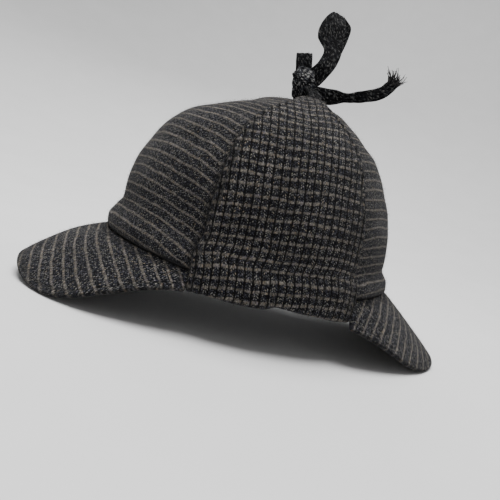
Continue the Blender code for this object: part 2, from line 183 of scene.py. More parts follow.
@dataclass(frozen=True)
class Ripple:
    """The soft unevenness of handled cloth, as a sum of slanted waves.

    Attributes:
        length: how long a usual wave is.
        depth: how far the cloth stands out.
        seed: what its random waves start from.
        waves: how many there are.
    """

    length: float
    depth: float
    seed: int
    waves: int = 9

    def at(self, place: np.ndarray) -> np.ndarray:
        """Return how far the cloth stands out at places that are two lengths each.

        Args:
            place: how far each is along and up the cloth.

        Returns:
            How far the cloth stands out there.
        """
        random = np.random.default_rng(self.seed)
        total = np.zeros(place.shape[:-1])
        for _ in range(self.waves):
            turn = random.uniform(0.0, math.pi)
            size = 2.0 * math.pi / (self.length * random.uniform(0.6, 1.8))
            slant = place[..., 0] * math.cos(turn) + place[..., 1] * math.sin(turn)
            total += np.sin(slant * size + random.uniform(0.0, 2.0 * math.pi))
        return total * self.depth / math.sqrt(self.waves)


@dataclass(frozen=True)
class Stand:
    """How the hat stands on its two peaks.

    Attributes:
        tilt: how far it leans, in radians.
        middle: where the middle of its rim is.
    """

    tilt: float = 0.013861
    middle: Numbers = (0.0, -0.0018966, 0.0486600)

    def place(self, points: np.ndarray) -> np.ndarray:
        """Bring points of the hat's own frame into the scene's."""
        return self.turn(points) + np.array(self.middle)

    def turn(self, directions: np.ndarray) -> np.ndarray:
        """Bring directions of the hat's own frame into the scene's."""
        return directions @ np.array(Matrix.Rotation(self.tilt, 3, "X")).T


@dataclass
class Cloth:
    """A piece of cloth as a grid of rows and columns, before it becomes a mesh.

    Attributes:
        middle: points halfway through the cloth.
        half: half the cloth's thickness at each of them.
        weave: how far each lies along and up the woven cloth, in metres.
        inside: the number of the material on the far side.
        edge: how far in from a rounded border the cloth has its full thickness.
        closed: which borders are rounded off: first and last column, first and last row.
        shade: how far painted shade darkens it in seams and along and beside edges, from 0
            to 1.
    """

    middle: np.ndarray
    half: np.ndarray
    weave: np.ndarray
    inside: int = 0
    edge: float = 0.0012
    closed: tuple[bool, bool, bool, bool] = (True, True, True, True)
    shade: np.ndarray | float = 0.0

    def outward(self) -> np.ndarray:
        """Return the direction that the cloth faces at each point."""
        across = np.gradient(self.middle, axis=1)
        along = np.gradient(self.middle, axis=0)
        return unit(np.cross(across, along))

    def mirrored(self) -> "Cloth":
        """Return the same piece on the other side of the hat."""
        flip = self.middle[:, ::-1] * np.array([-1.0, 1.0, 1.0])
        weave = self.weave[:, ::-1] * np.array([-1.0, 1.0])
        first, last, low, high = self.closed
        closed = (last, first, low, high)
        shade = np.broadcast_to(self.shade, self.half.shape)[:, ::-1]
        return Cloth(flip, self.half[:, ::-1], weave, self.inside, self.edge, closed, shade)

    def border(self) -> np.ndarray:
        """Return how far each point lies from the nearest rounded border."""
        across = np.linalg.norm(np.diff(self.middle, axis=1), axis=2)
        along = np.linalg.norm(np.diff(self.middle, axis=0), axis=2)
        left = np.pad(np.cumsum(across, axis=1), ((0, 0), (1, 0)))
        low = np.pad(np.cumsum(along, axis=0), ((1, 0), (0, 0)))
        sides = (left, left[:, -1:] - left, low, low[-1:] - low)
        used = [side for side, closed in zip(sides, self.closed) if closed]
        return np.min(used, axis=0) if used else np.full(self.half.shape, 1.0)

    def mesh(self, name: str, stand: Stand) -> bpy.types.Object:
        """Build the cloth as a closed mesh with rounded borders.

        Args:
            name: the piece's name.
            stand: where the hat stands.

        Returns:
            The new object.
        """
        rows, columns = self.half.shape
        near = np.clip(self.border() / self.edge, 0.0, 1.0)
        half = self.half * np.sqrt(np.maximum(1.0 - (1.0 - near) ** 2, 0.0))
        push = self.outward() * half[..., None]
        rim = np.zeros((rows, columns), bool)
        rim[0], rim[-1], rim[:, 0], rim[:, -1] = True, True, True, True
        number = np.arange(rows * columns).reshape(rows, columns)
        under = number.copy()
        under[~rim] = rows * columns + np.arange((~rim).sum())
        outside, lining = self.middle + push, self.middle - push
        points = np.vstack([outside.reshape(-1, 3), lining[~rim]])
        # The painted shade goes with each point, as the third number of its place on the
        # cloth
        shade = np.broadcast_to(self.shade, (rows, columns))[..., None]
        place = np.concatenate([self.weave, shade], -1)
        weave = np.vstack([place.reshape(-1, 3), place[~rim]])
        faces = [
            np.stack([grid[:-1, :-1], grid[:-1, 1:], grid[1:, 1:], grid[1:, :-1]], -1)
            for grid in (number, under)
        ]
        top, low = faces[0].reshape(-1, 4), faces[1].reshape(-1, 4)[:, ::-1]
        piece = new_mesh(name, stand.place(points), np.vstack([top, low]), weave)
        sides = np.concatenate([np.zeros(len(top), int), np.full(len(low), self.inside)])
        piece.data.polygons.foreach_set("material_index", sides.astype(np.int32))
        return piece


def new_mesh(
    name: str, points: np.ndarray, faces: np.ndarray, weave: np.ndarray
) -> bpy.types.Object:
    """Make a smooth-shaded object from points and faces.

    Args:
        name: the object's name.
        points: where its vertices are, in the scene's frame.
        faces: the vertex numbers of each face.
        weave: how far each vertex lies along and up the woven cloth, and its painted shade.

    Returns:
        The new object.
    """
    mesh = bpy.data.meshes.new(name)
    mesh.from_pydata(points.tolist(), [], faces.tolist())
    place = mesh.attributes.new(WEAVE, "FLOAT_VECTOR", "POINT")
    flat = np.zeros((len(points), 3), np.float32)
    flat[:, : weave.shape[1]] = weave
    place.data.foreach_set("vector", flat.ravel())
    mesh.shade_smooth()
    mesh.validate()
    piece = bpy.data.objects.new(name, mesh)
    bpy.context.scene.collection.objects.link(piece)
    return piece


def finish_piece(
    piece: bpy.types.Object,
    materials: list[bpy.types.Material],
    nodes: tuple[str, ...] = (),
) -> None:
    """Dress a piece, put it on the hat's body and hide the solids that it stands for.

    Args:
        piece: the finished object.
        materials: its outside material and, where it has one, its inside one.
        nodes: the solids that it replaces.
    """
    for material in materials:
        piece.data.materials.append(material)
    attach(piece, BODY)
    if nodes:
        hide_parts(*nodes)
    LOG.info("%s: %d faces", piece.name, len(piece.data.polygons))


def shares(count: int, border: float = 0.0) -> np.ndarray:
    """Return even shares from 0 to 1, with closer ones near both ends.

    Args:
        count: how many even steps there are.
        border: the share at each end that holds the closer ones.

    Returns:
        The shares in order.
    """
    even = np.linspace(border, 1.0 - border, count + 1)
    if border == 0.0:
        return even
    close = border * np.array([0.0, 0.05, 0.18, 0.38, 0.66])
    return np.concatenate([close, even, 1.0 - close[::-1]])


@dataclass(frozen=True)
class CrownForm:
    """The crown's smooth form, which everything else on the hat is laid against."""

    half_width: float = 0.0810
    half_length: float = 0.1056
    height: float = 0.1170
    cloth: float = 0.0025
    dip_broad: float = 0.0070
    dip_ear: float = 0.0050
    puff: float = 0.0010
    seams: Numbers = (0.0, 68.0, 118.0, 180.0)
    paths: Numbers = (
        0.000, 0.034, 0.092, 0.133, 0.224, 0.282, 0.372, 0.478,
        0.549, 0.613, 0.686, 0.761, 0.826, 0.902, 1.000,
    )  # fmt: skip
    heights: Numbers = (
        0.000, 0.050, 0.124, 0.182, 0.314, 0.397, 0.521, 0.661,
        0.744, 0.802, 0.860, 0.909, 0.950, 0.983, 1.000,
    )  # fmt: skip
    fronts: Numbers = (
        1.000, 1.005, 0.966, 0.931, 0.926, 0.907, 0.852, 0.770,
        0.680, 0.570, 0.430, 0.278, 0.185, 0.045, -0.100,
    )  # fmt: skip
    backs: Numbers = (
        1.000, 0.991, 0.932, 0.930, 0.914, 0.890, 0.826, 0.745,
        0.673, 0.593, 0.520, 0.450, 0.379, 0.284, 0.100,
    )  # fmt: skip
    sides: Numbers = (
        1.000, 1.000, 0.963, 0.950, 0.950, 0.938, 0.900, 0.825,
        0.750, 0.675, 0.575, 0.463, 0.338, 0.188, 0.000,
    )  # fmt: skip
    dents: tuple[Numbers, ...] = (
        (48.0, 0.42, 7.0, 0.050, 0.55),
        (38.0, 0.36, 9.0, 0.040, -0.35),
        (150.0, 0.30, 12.0, 0.050, 0.40),
    )

    def rim(self, angle: np.ndarray) -> np.ndarray:
        """Return the height of the crown's lower edge, which dips over the ears."""
        side = np.abs(np.sin(np.radians(angle)))
        return -self.dip_broad * side**2 - self.dip_ear * side**12

    def base(self, angle: np.ndarray, path: np.ndarray) -> np.ndarray:
        """Return points of the smooth form.

        Args:
            angle: degrees round the crown.
            path: shares of the way up its cloth.

        Returns:
            The points.
        """
        front = Profile(self.paths, self.fronts).at(path)
        back = Profile(self.paths, self.backs).at(path)
        side = Profile(self.paths, self.sides).at(path)
        turn = np.radians(angle)
        x = self.half_width * side * np.sin(turn)
        y = self.half_length * ((back - front) / 2.0 - (back + front) / 2.0 * np.cos(turn))
        z = self.height * Profile(self.paths, self.heights).at(path)
        z = z + self.rim(angle) * (1.0 - path) ** 2
        return np.stack(np.broadcast_arrays(x, y, z), -1)

    def point(self, angle: np.ndarray, path: np.ndarray, out: Any) -> np.ndarray:
        """Return points that stand out from the smooth form.

        Args:
            angle: degrees round the crown.
            path: shares of the way up its cloth.
            out: how far they stand out.

        Returns:
            The points.
        """
        angle, path, out = np.broadcast_arrays(angle, path, out)
        near = np.minimum(path, 0.985)
        around = self.base(angle + 0.5, near) - self.base(angle - 0.5, near)
        lower = np.maximum(near - 0.004, 0.0)
        upward = self.base(angle, near + 0.004) - self.base(angle, lower)
        normal = unit(np.cross(around, upward))
        return self.base(angle, path) + normal * out[..., None]

    def below(self, angle: np.ndarray, height: np.ndarray, out: Any) -> np.ndarray:
        """Return points at a height, in line with the foot of the crown's wall.

        Args:
            angle: degrees round the crown.
            height: how high they are.
            out: how far they stand out from the wall.

        Returns:
            The points.
        """
        angle, height, out = np.broadcast_arrays(angle, height, out)
        turn = np.radians(angle)
        x, y = np.sin(turn), -np.cos(turn)
        level = np.zeros_like(x)
        outward = unit(np.stack([x * self.half_length, y * self.half_width, level], -1))
        foot = np.stack([x * self.half_width, y * self.half_length, height], -1)
        return foot + outward * out[..., None]

    def relief(self, angle: np.ndarray, path: np.ndarray) -> np.ndarray:
        """Return how far the sewn cloth stands out of the smooth form.

        Args:
            angle: degrees round the crown.
            path: shares of the way up its cloth.

        Returns:
            How far it stands out there.
        """
        seams = np.array(self.seams)
        panel = np.clip(np.searchsorted(seams, angle, side="right"), 1, len(seams) - 1)
        start, end = seams[panel - 1], seams[panel]
        across = np.clip((angle - start) / (end - start), 0.0, 1.0)
        fade = np.minimum(1.0, (1.0 - path) / 0.3)
        form = self.puff * np.sin(np.pi * across) ** 0.8 * fade
        for dent_angle, dent_path, reach, length, depth in self.dents:
            away = ((angle - dent_angle) / reach) ** 2 + ((path - dent_path) / length) ** 2
            form = form - depth * self.cloth * np.exp(-away)
        return form


def laid_flat(points: np.ndarray, centre: int, bow: float, first: int = 0) -> np.ndarray:
    """Work out how a curved piece of cloth lay on the loom.

    Args:
        points: the grid of points on the cloth.
        centre: the column that its grain runs along.
        bow: how much the rows droop away from that column, per metre.
        first: the row that lengths up the piece start from.

    Returns:
        For each point, how far it is along the rows and up the piece.
    """
    across = np.linalg.norm(np.diff(points, axis=1), axis=2)
    along = np.linalg.norm(np.diff(points, axis=0), axis=2)
    x = np.pad(np.cumsum(across, axis=1), ((0, 0), (1, 0)))
    x = x - x[:, centre : centre + 1]
    y = np.pad(np.cumsum(along, axis=0), ((1, 0), (0, 0)))
    y = y - y[first : first + 1]
    return np.stack([x, y + bow * x**2], -1)


def stitches(weave: np.ndarray, pitch: float = 0.0032) -> np.ndarray:
    """Return how deep the painted shade is where a row of stitches draws the cloth down."""
    return 0.62 + 0.38 * np.cos(2.0 * math.pi * (weave[..., 0] + weave[..., 1]) / pitch)


def ridge(distance: np.ndarray, width: float) -> np.ndarray:
    """Return a smooth ridge, which is 1 at no distance and fades over its width.

    Args:
        distance: how far each point lies from the ridge.
        width: how wide it is.

    Returns:
        Its height there, from 0 to 1.
    """
    return np.exp(-((distance / width) ** 2))


class Cut(Enum):
    """How a piece is cut from the tweed, as the pitch of its dark cross lines in mm."""

    STRIPED = 0.0
    CHECKED = 5.1


def woven_place(tree: bpy.types.NodeTree) -> tuple[bpy.types.NodeSocket, bpy.types.Node]:
    """Read where a point lies along and up its woven cloth.

    Args:
        tree: the material's nodes.

    Returns:
        The place in metres, with the painted shade of seams and edges as its third number,
        and the node that holds the place in millimetres.
    """
    cloth = add_node(tree, "Attribute", {"attribute_name": WEAVE}).outputs["Vector"]
    flat = add_node(tree, "VectorMath", {"operation": "SCALE", "Scale": 1000.0}, {0: cloth})
    return cloth, flat


@dataclass(frozen=True)
class Finish:
    """What every finish has: the real material's name, and how its surface takes light."""

    name: str
    roughness: float = 0.95
    specular: float = 0.08
    sheen: float = 0.0
    bump_strength: float = 0.8
    bump_depth: float = 0.0005

    def pattern(self, tree: bpy.types.NodeTree) -> tuple[Any, Any]:
        """Draw the surface.

        Args:
            tree: the material's nodes.

        Returns:
            The node that holds its colour, and the one that holds its relief or None.

        Raises:
            NotImplementedError: where a finish has no pattern of its own.
        """
        raise NotImplementedError(f"{self.name} needs the nodes of {tree.name}")

    def material(self) -> bpy.types.Material:
        """Build the material."""
        material = bpy.data.materials.new(self.name)
        material.use_nodes = True
        tree = material.node_tree
        shader = tree.nodes["Principled BSDF"]
        colour, height = self.pattern(tree)
        tree.links.new(colour.outputs[0], shader.inputs["Base Color"])
        if height is not None:
            size = {"Strength": self.bump_strength, "Distance": self.bump_depth}
            bump = add_node(tree, "Bump", size, {"Height": height})
            tree.links.new(bump.outputs[0], shader.inputs["Normal"])
        shader.inputs["Roughness"].default_value = self.roughness
        shader.inputs["Specular IOR Level"].default_value = self.specular
        shader.inputs["Sheen Weight"].default_value = self.sheen
        return material


@dataclass(frozen=True)
class Tweed(Finish):
    """Woollen tweed, woven from flecked yarns and lightly brushed.

    The eye sees dark ground broken by short pale floats of yarn, a raised pale line
    every few millimetres, no gloss, and a soft bloom of fibres where it turns away.

    Attributes:
        lean: the slant of the floats, in degrees.
        order: how far dark and pale floats take turns, from 0 for chance alone.
        drifts: the scale per mm and the reach in mm of what draws the yarns astray.
        apart_mm: what moves each column's floats, so that no two columns repeat.
    """

    sheen: float = 0.03
    cut: Cut = Cut.STRIPED
    line_pitch_mm: float = 6.3
    line_width_mm: float = 1.5
    # Real floats are about two thirds of this: drawn coarser, to show
    float_width_mm: float = 0.52
    float_length_mm: float = 1.2
    lean: float = 60.0
    order: float = 0.40
    tone: float = 0.90
    tone_spread: float = 0.14
    drifts: tuple[tuple[float, Numbers], ...] = (
        (0.05, (0.9, 3.4, 0.0)),
        (0.42, (0.5, 0.7, 0.0)),
    )
    apart_mm: float = 14.7
    sunk_mm: tuple[float, float] = (0.26, 0.88)
    ground: Stops = (
        (0.00, "#040406"), (0.22, "#0c0d12"), (0.42, "#24252c"),
        (0.62, "#44454c"), (0.82, "#6b6b6a"), (1.00, "#94918b"),
    )  # fmt: skip
    raised: Stops = (
        (0.00, "#403e3b"), (0.30, "#5f5b55"), (0.70, "#76716a"), (1.00, "#928c84"),
    )  # fmt: skip
    tints: Stops = (
        (0.00, "#eeddca"), (0.16, "#e6e4e1"), (0.70, "#e3e4e7"),
        (0.86, "#d9d5e8"), (1.00, "#dfe1d0"),
    )  # fmt: skip

    def pattern(self, tree: bpy.types.NodeTree) -> tuple[Any, Any]:
        """Draw the weave: drawn yarns, pale lines, floats and the gaps between them.

        Args:
            tree: the material's nodes.

        Returns:
            The nodes that hold the colour and the relief.
        """
        cloth, flat = woven_place(tree)
        # Handled cloth never keeps its lines straight: slow drift, then the yarns' own
        yarn = flat
        for scale, reach in self.drifts:
            size = {"Scale": scale, "Detail": 2.0}
            noise = add_node(tree, "TexNoise", size, {"Vector": flat}).outputs["Color"]
            move = {"operation": "MULTIPLY_ADD", 1: reach}
            yarn = add_node(tree, "VectorMath", move, {0: noise, 2: yarn})
        place = add_node(tree, "SeparateXYZ", {}, {0: yarn})
        rows = self.pale_lines(tree, yarn, place)
        facing = None
        if self.cut is not Cut.STRIPED:
            half = self.cut.value / 2.0
            across = {0: place.outputs["X"]}
            # The checked cut's floats lean away from each sunken line, like small chevrons
            facing = add_node(tree, "Math", {"operation": "PINGPONG", 1: half}, across)
            column = add_node(tree, "Math", {"operation": "SNAP", 1: half}, across)
            spread = {"operation": "MULTIPLY_ADD", 1: self.apart_mm}
            apart = add_node(tree, "Math", spread, {0: column, 2: place.outputs["Y"]})
            yarn = add_node(tree, "CombineXYZ", {}, {0: facing, 1: apart})
        slant = {
            "vector_type": "TEXTURE",
            "Rotation": (0.0, 0.0, math.radians(self.lean - 90.0)),
            "Scale": (self.float_width_mm, self.float_length_mm, 1.0),
        }
        floats = add_node(tree, "Mapping", slant, {"Vector": yarn})
        packing = {"voronoi_dimensions": "2D", "Scale": 1.0, "Randomness": 0.6}
        cells = add_node(tree, "TexVoronoi", packing, {"Vector": floats})
        tinted = self.colours(tree, cells, rows)
        shade = self.shades(tree, cells, rows, cloth, flat)
        if facing is not None:
            # Dark lines lie sunk across the rows of the checked cut
            sunk = add_node(
                tree,
                "MapRange",
                {
                    "interpolation_type": "SMOOTHSTEP",
                    "From Min": self.sunk_mm[0],
                    "From Max": self.sunk_mm[1],
                    "To Min": 0.06,
                },
                {"Value": facing},
            )
            shade = add_node(tree, "Math", {"operation": "MULTIPLY"}, {0: shade, 1: sunk})
        shaded = {0: tinted.outputs[2], "Scale": shade}
        colour = add_node(tree, "VectorMath", {"operation": "SCALE"}, shaded)
        domes = add_node(
            tree,
            "MapRange",
            {"From Max": 0.75, "To Min": 0.7, "To Max": 0.0},
            {"Value": cells.outputs["Distance"]},
        )
        raise_lines = {"operation": "MULTIPLY_ADD", 1: 0.9}
        return colour, add_node(tree, "Math", raise_lines, {0: rows, 2: domes})

    def pale_lines(
        self, tree: bpy.types.NodeTree, yarn: bpy.types.Node, place: bpy.types.Node
    ) -> bpy.types.Node:
        """Return the node that holds the pale lines, whose yarn is spun thick and thin.

        Args:
            tree: the material's nodes.
            yarn: the yarns' places in millimetres.
            place: the same places, as separate numbers.

        Returns:
            The node, which is 1 in the middle of a line.
        """
        fold = {"operation": "PINGPONG", 1: self.line_pitch_mm / 2.0}
        away = add_node(tree, "Math", fold, {0: place.outputs["Y"]})
        line = add_node(
            tree,
            "MapRange",
            {
                "interpolation_type": "SMOOTHSTEP",
                "From Min": self.line_width_mm * 0.72,
                "From Max": self.line_width_mm * 0.28,
            },
            {"Value": away},
        )
        slub = add_node(tree, "TexNoise", {"Scale": 0.36, "Detail": 1.0}, {"Vector": yarn})
        slubs = add_node(
            tree,
            "MapRange",
            {"From Min": 0.30, "From Max": 0.55, "To Min": 0.80},
            {"Value": slub.outputs["Fac"]},
        )
        return add_node(tree, "Math", {"operation": "MULTIPLY"}, {0: line, 1: slubs})

    def colours(
        self, tree: bpy.types.NodeTree, cells: bpy.types.Node, rows: bpy.types.Node
    ) -> bpy.types.Node:
        """Colour each float of yarn.

        Args:
            tree: the material's nodes.
            cells: the floats.
            rows: the pale lines.

        Returns:
            The mixing node that holds the colours.
        """
        chance = add_node(tree, "SeparateColor", {}, {0: cells.outputs["Color"]})
        # Dark and pale yarns take turns in the weave, so the flecks never gather in patches
        spot = add_node(
            tree, "VectorMath", {"operation": "FLOOR"}, {0: cells.outputs["Position"]}
        )
        halves = {"operation": "DOT_PRODUCT", 1: (0.5, 0.5, 0.0)}
        count = add_node(tree, "VectorMath", halves, {0: spot}).outputs["Value"]
        turn = add_node(tree, "Math", {"operation": "FRACT"}, {0: count})
        by_chance = {"operation": "MULTIPLY", 1: 1.0 - self.order}
        luck = add_node(tree, "Math", by_chance, {0: chance.outputs["Red"]})
        by_turn = {"operation": "MULTIPLY_ADD", 1: 2.0 * self.order}
        depth = add_node(tree, "Math", by_turn, {0: turn, 2: luck})
        ground = add_node(tree, "ValToRGB", {"stops": self.ground}, {0: depth})
        green, blue = chance.outputs["Green"], chance.outputs["Blue"]
        raised = add_node(tree, "ValToRGB", {"stops": self.raised}, {0: green})
        sorts = {0: rows, 6: ground, 7: raised}
        woven = add_node(tree, "Mix", {"data_type": "RGBA"}, sorts)
        # Odd threads of tan, plum and moss show in the grey
        tints = add_node(tree, "ValToRGB", {"stops": self.tints}, {0: blue})
        multiply = {"data_type": "RGBA", "blend_type": "MULTIPLY", 0: 1.0}
        return add_node(tree, "Mix", multiply, {6: woven.outputs[2], 7: tints})

    def shades(
        self,
        tree: bpy.types.NodeTree,
        cells: bpy.types.Node,
        rows: bpy.types.Node,
        cloth: bpy.types.NodeSocket,
        flat: bpy.types.Node,
    ) -> bpy.types.Node:
        """Darken the gaps beside the floats and the cloth here and there; paint shade at
        seams.

        Args:
            tree: the material's nodes.
            cells: the floats.
            rows: the pale lines, whose yarns are packed closer.
            cloth: the place on the cloth, with the painted shade of seams and edges third.
            flat: the place in millimetres.

        Returns:
            The node that holds the shading.
        """
        gaps = add_node(
            tree,
            "MapRange",
            {"From Min": 0.14, "From Max": 0.54, "To Min": 1.0, "To Max": 0.10},
            {"Value": cells.outputs["Distance"]},
        )
        packed = add_node(tree, "Math", {"operation": "MULTIPLY", 1: 0.68}, {0: rows})
        gaps = add_node(tree, "Math", {"operation": "MAXIMUM"}, {0: gaps, 1: packed})
        patch = add_node(tree, "TexNoise", {"Scale": 0.03, "Detail": 1.0}, {"Vector": flat})
        tones = add_node(
            tree,
            "MapRange",
            {
                "From Min": 0.3,
                "From Max": 0.7,
                "To Min": (1.0 - self.tone_spread) * self.tone,
                "To Max": (1.0 + self.tone_spread) * self.tone,
            },
            {"Value": patch.outputs["Fac"]},
        )
        # Painted shade: the third number darkens seams, edges and the crown beside the
        # flaps
        seams = add_node(tree, "SeparateXYZ", {}, {0: cloth}).outputs["Z"]
        darken = {"To Min": 1.0, "To Max": 0.12}
        painted_shade = add_node(tree, "MapRange", darken, {"Value": seams})
        toned = add_node(tree, "Math", {"operation": "MULTIPLY"}, {0: tones, 1: painted_shade})
        return add_node(tree, "Math", {"operation": "MULTIPLY"}, {0: gaps, 1: toned})


@dataclass(frozen=True)
class LiningCotton(Finish):
    """Plain-woven cotton lining, calendered: charcoal, smooth, with a faint soft gloss."""

    name: str = "Calendered cotton lining"
    roughness: float = 0.62
    specular: float = 0.5
    bump_strength: float = 0.4
    bump_depth: float = 0.0001
    colours: tuple[str, str] = ("#151518", "#2a2a2f")
    # Twice the real pitch, to show
    thread_mm: float = 0.8

    def pattern(self, tree: bpy.types.NodeTree) -> tuple[Any, Any]:
        """Draw the threads both ways.

        Args:
            tree: the material's nodes.

        Returns:
            The nodes that hold the colour and the relief.
        """
        flat = woven_place(tree)[1]
        wave = {"Scale": 0.5 / self.thread_mm, "Distortion": 0.6}
        weft, warp = (
            add_node(tree, "TexWave", {"bands_direction": way, **wave}, {"Vector": flat})
            for way in ("X", "Y")
        )
        crossing = {0: weft.outputs["Fac"], 1: warp.outputs["Fac"]}
        threads = add_node(tree, "Math", {"operation": "MAXIMUM"}, crossing)
        ramp = {"stops": tuple(zip((0.0, 1.0), self.colours))}
        return add_node(tree, "ValToRGB", ramp, {0: threads}), threads


@dataclass(frozen=True)
class TweedTape(Finish):
    """Narrow tape folded from the same tweed: finer, darker flecks on soft ridges."""

    name: str = "Folded tweed tape"
    sheen: float = 0.03
    float_width_mm: float = 0.50
    float_length_mm: float = 1.7
    lean: float = 28.0
    wander_mm: float = 1.6
    # How light the flecks are; above one it is painted light, for tape that lies in shade
    tone: float = 1.0
    flecks: Stops = (
        (0.00, "#030304"), (0.48, "#09090c"), (0.68, "#191a1e"),
        (0.86, "#393a3b"), (1.00, "#5c5b59"),
    )  # fmt: skip

    def pattern(self, tree: bpy.types.NodeTree) -> tuple[Any, Any]:
        """Draw the flecked floats and the gaps between them.

        Args:
            tree: the material's nodes.

        Returns:
            The nodes that hold the colour and the relief.
        """
        flat = woven_place(tree)[1]
        noise = add_node(tree, "TexNoise", {"Scale": 0.5, "Detail": 2.0}, {"Vector": flat})
        reach = {"operation": "MULTIPLY_ADD", 1: (self.wander_mm, self.wander_mm, 0.0)}
        yarn = add_node(tree, "VectorMath", reach, {0: noise.outputs["Color"], 2: flat})
        slant = {
            "vector_type": "TEXTURE",
            "Rotation": (0.0, 0.0, math.radians(self.lean)),
            "Scale": (self.float_width_mm, self.float_length_mm, 1.0),
        }
        floats = add_node(tree, "Mapping", slant, {"Vector": yarn})
        packing = {"voronoi_dimensions": "2D", "Scale": 1.0, "Randomness": 0.9}
        cells = add_node(tree, "TexVoronoi", packing, {"Vector": floats})
        chance = add_node(tree, "SeparateColor", {}, {0: cells.outputs["Color"]})
        red = chance.outputs["Red"]
        fleck = add_node(tree, "ValToRGB", {"stops": self.flecks}, {0: red})
        gaps, domes = (
            add_node(
                tree,
                "MapRange",
                {"From Min": near, "From Max": far, "To Min": top, "To Max": low},
                {"Value": cells.outputs["Distance"]},
            )
            for near, far, top, low in (
                (0.2, 0.62, self.tone, 0.4 * self.tone),
                (0.0, 0.75, 1.0, 0.0),
            )
        )
        shaded = {0: fleck, "Scale": gaps}
        return add_node(tree, "VectorMath", {"operation": "SCALE"}, shaded), domes


@dataclass(frozen=True)
class SpunFibre(Finish):
    """Loose wool fibre, spun and then brushed out: matt, and mixed light and dark."""

    roughness: float = 0.9
    specular: float = 0.1
    dark: str = "#08080a"
    pale: str = "#3a3838"

    def pattern(self, tree: bpy.types.NodeTree) -> tuple[Any, Any]:
        """Draw light and dark fibres about a millimetre apart.

        Args:
            tree: the material's nodes.

        Returns:
            The node that holds the colour, and no relief.
        """
        cloth = add_node(tree, "Attribute", {"attribute_name": WEAVE}).outputs["Vector"]
        size = {"Scale": 900.0, "Detail": 1.0}
        mixed = add_node(tree, "TexNoise", size, {"Vector": cloth})
        ramp = {"stops": ((0.35, self.dark), (0.65, self.pale))}
        return add_node(tree, "ValToRGB", ramp, {0: mixed}), None


@dataclass(frozen=True)
class StudioPaper(Finish):
    """Seamless background paper: matt, pale grey, with the faintest mottle."""

    name: str = "Seamless background paper"
    roughness: float = 0.9
    specular: float = 0.1
    colours: tuple[str, str] = ("#c9c9c9", "#cccccc")

    def pattern(self, tree: bpy.types.NodeTree) -> tuple[Any, Any]:
        """Draw the mottle, which is about 80 mm across.

        Args:
            tree: the material's nodes.

        Returns:
            The node that holds the colour, and no relief.
        """
        place = add_node(tree, "NewGeometry").outputs["Position"]
        size = {"Scale": 12.0, "Detail": 4.0}
        mottle = add_node(tree, "TexNoise", size, {"Vector": place})
        ramp = {"stops": tuple(zip((0.3, 0.7), self.colours))}
        return add_node(tree, "ValToRGB", ramp, {0: mottle}), None


@dataclass(frozen=True)
class Finishes:
    """The materials of the whole scene."""

    striped: bpy.types.Material
    checked: bpy.types.Material
    peak: bpy.types.Material
    lining: bpy.types.Material
    band: bpy.types.Material
    tape: bpy.types.Material
    knot: bpy.types.Material
    thread: bpy.types.Material
    wool: bpy.types.Material
    paper: bpy.types.Material

    @classmethod
    def make(cls) -> "Finishes":
        """Build every material once."""
        checked = Tweed(
            "Brushed tweed, checked cut",
            cut=Cut.CHECKED,
            line_width_mm=1.8,
            float_width_mm=0.66,
            float_length_mm=1.5,
            tone=0.94,
        )
        finishes: dict[str, Finish] = {
            "striped": Tweed("Brushed tweed, striped cut"),
            "checked": checked,
            "peak": Tweed("Brushed tweed, peak cut", lean=84.0, line_pitch_mm=6.8),
            "lining": LiningCotton(),
            "band": LiningCotton(
                "Ribbed cotton band", colours=("#0c0c0e", "#1d1d20"), thread_mm=1.1
            ),
            "tape": TweedTape(),
            # The knot's tape is painted three times as light, against the shade that the
            # loops cast
            "knot": TweedTape("Folded tweed tape, painted lighter", tone=3.0),
            "thread": SpunFibre("Raw worsted thread ends"),
            "wool": SpunFibre("Loose brushed wool fibres", dark="#2a2a2d", pale="#6d6a66"),
            "paper": StudioPaper(),
        }
        return cls(**{use: finish.material() for use, finish in finishes.items()})


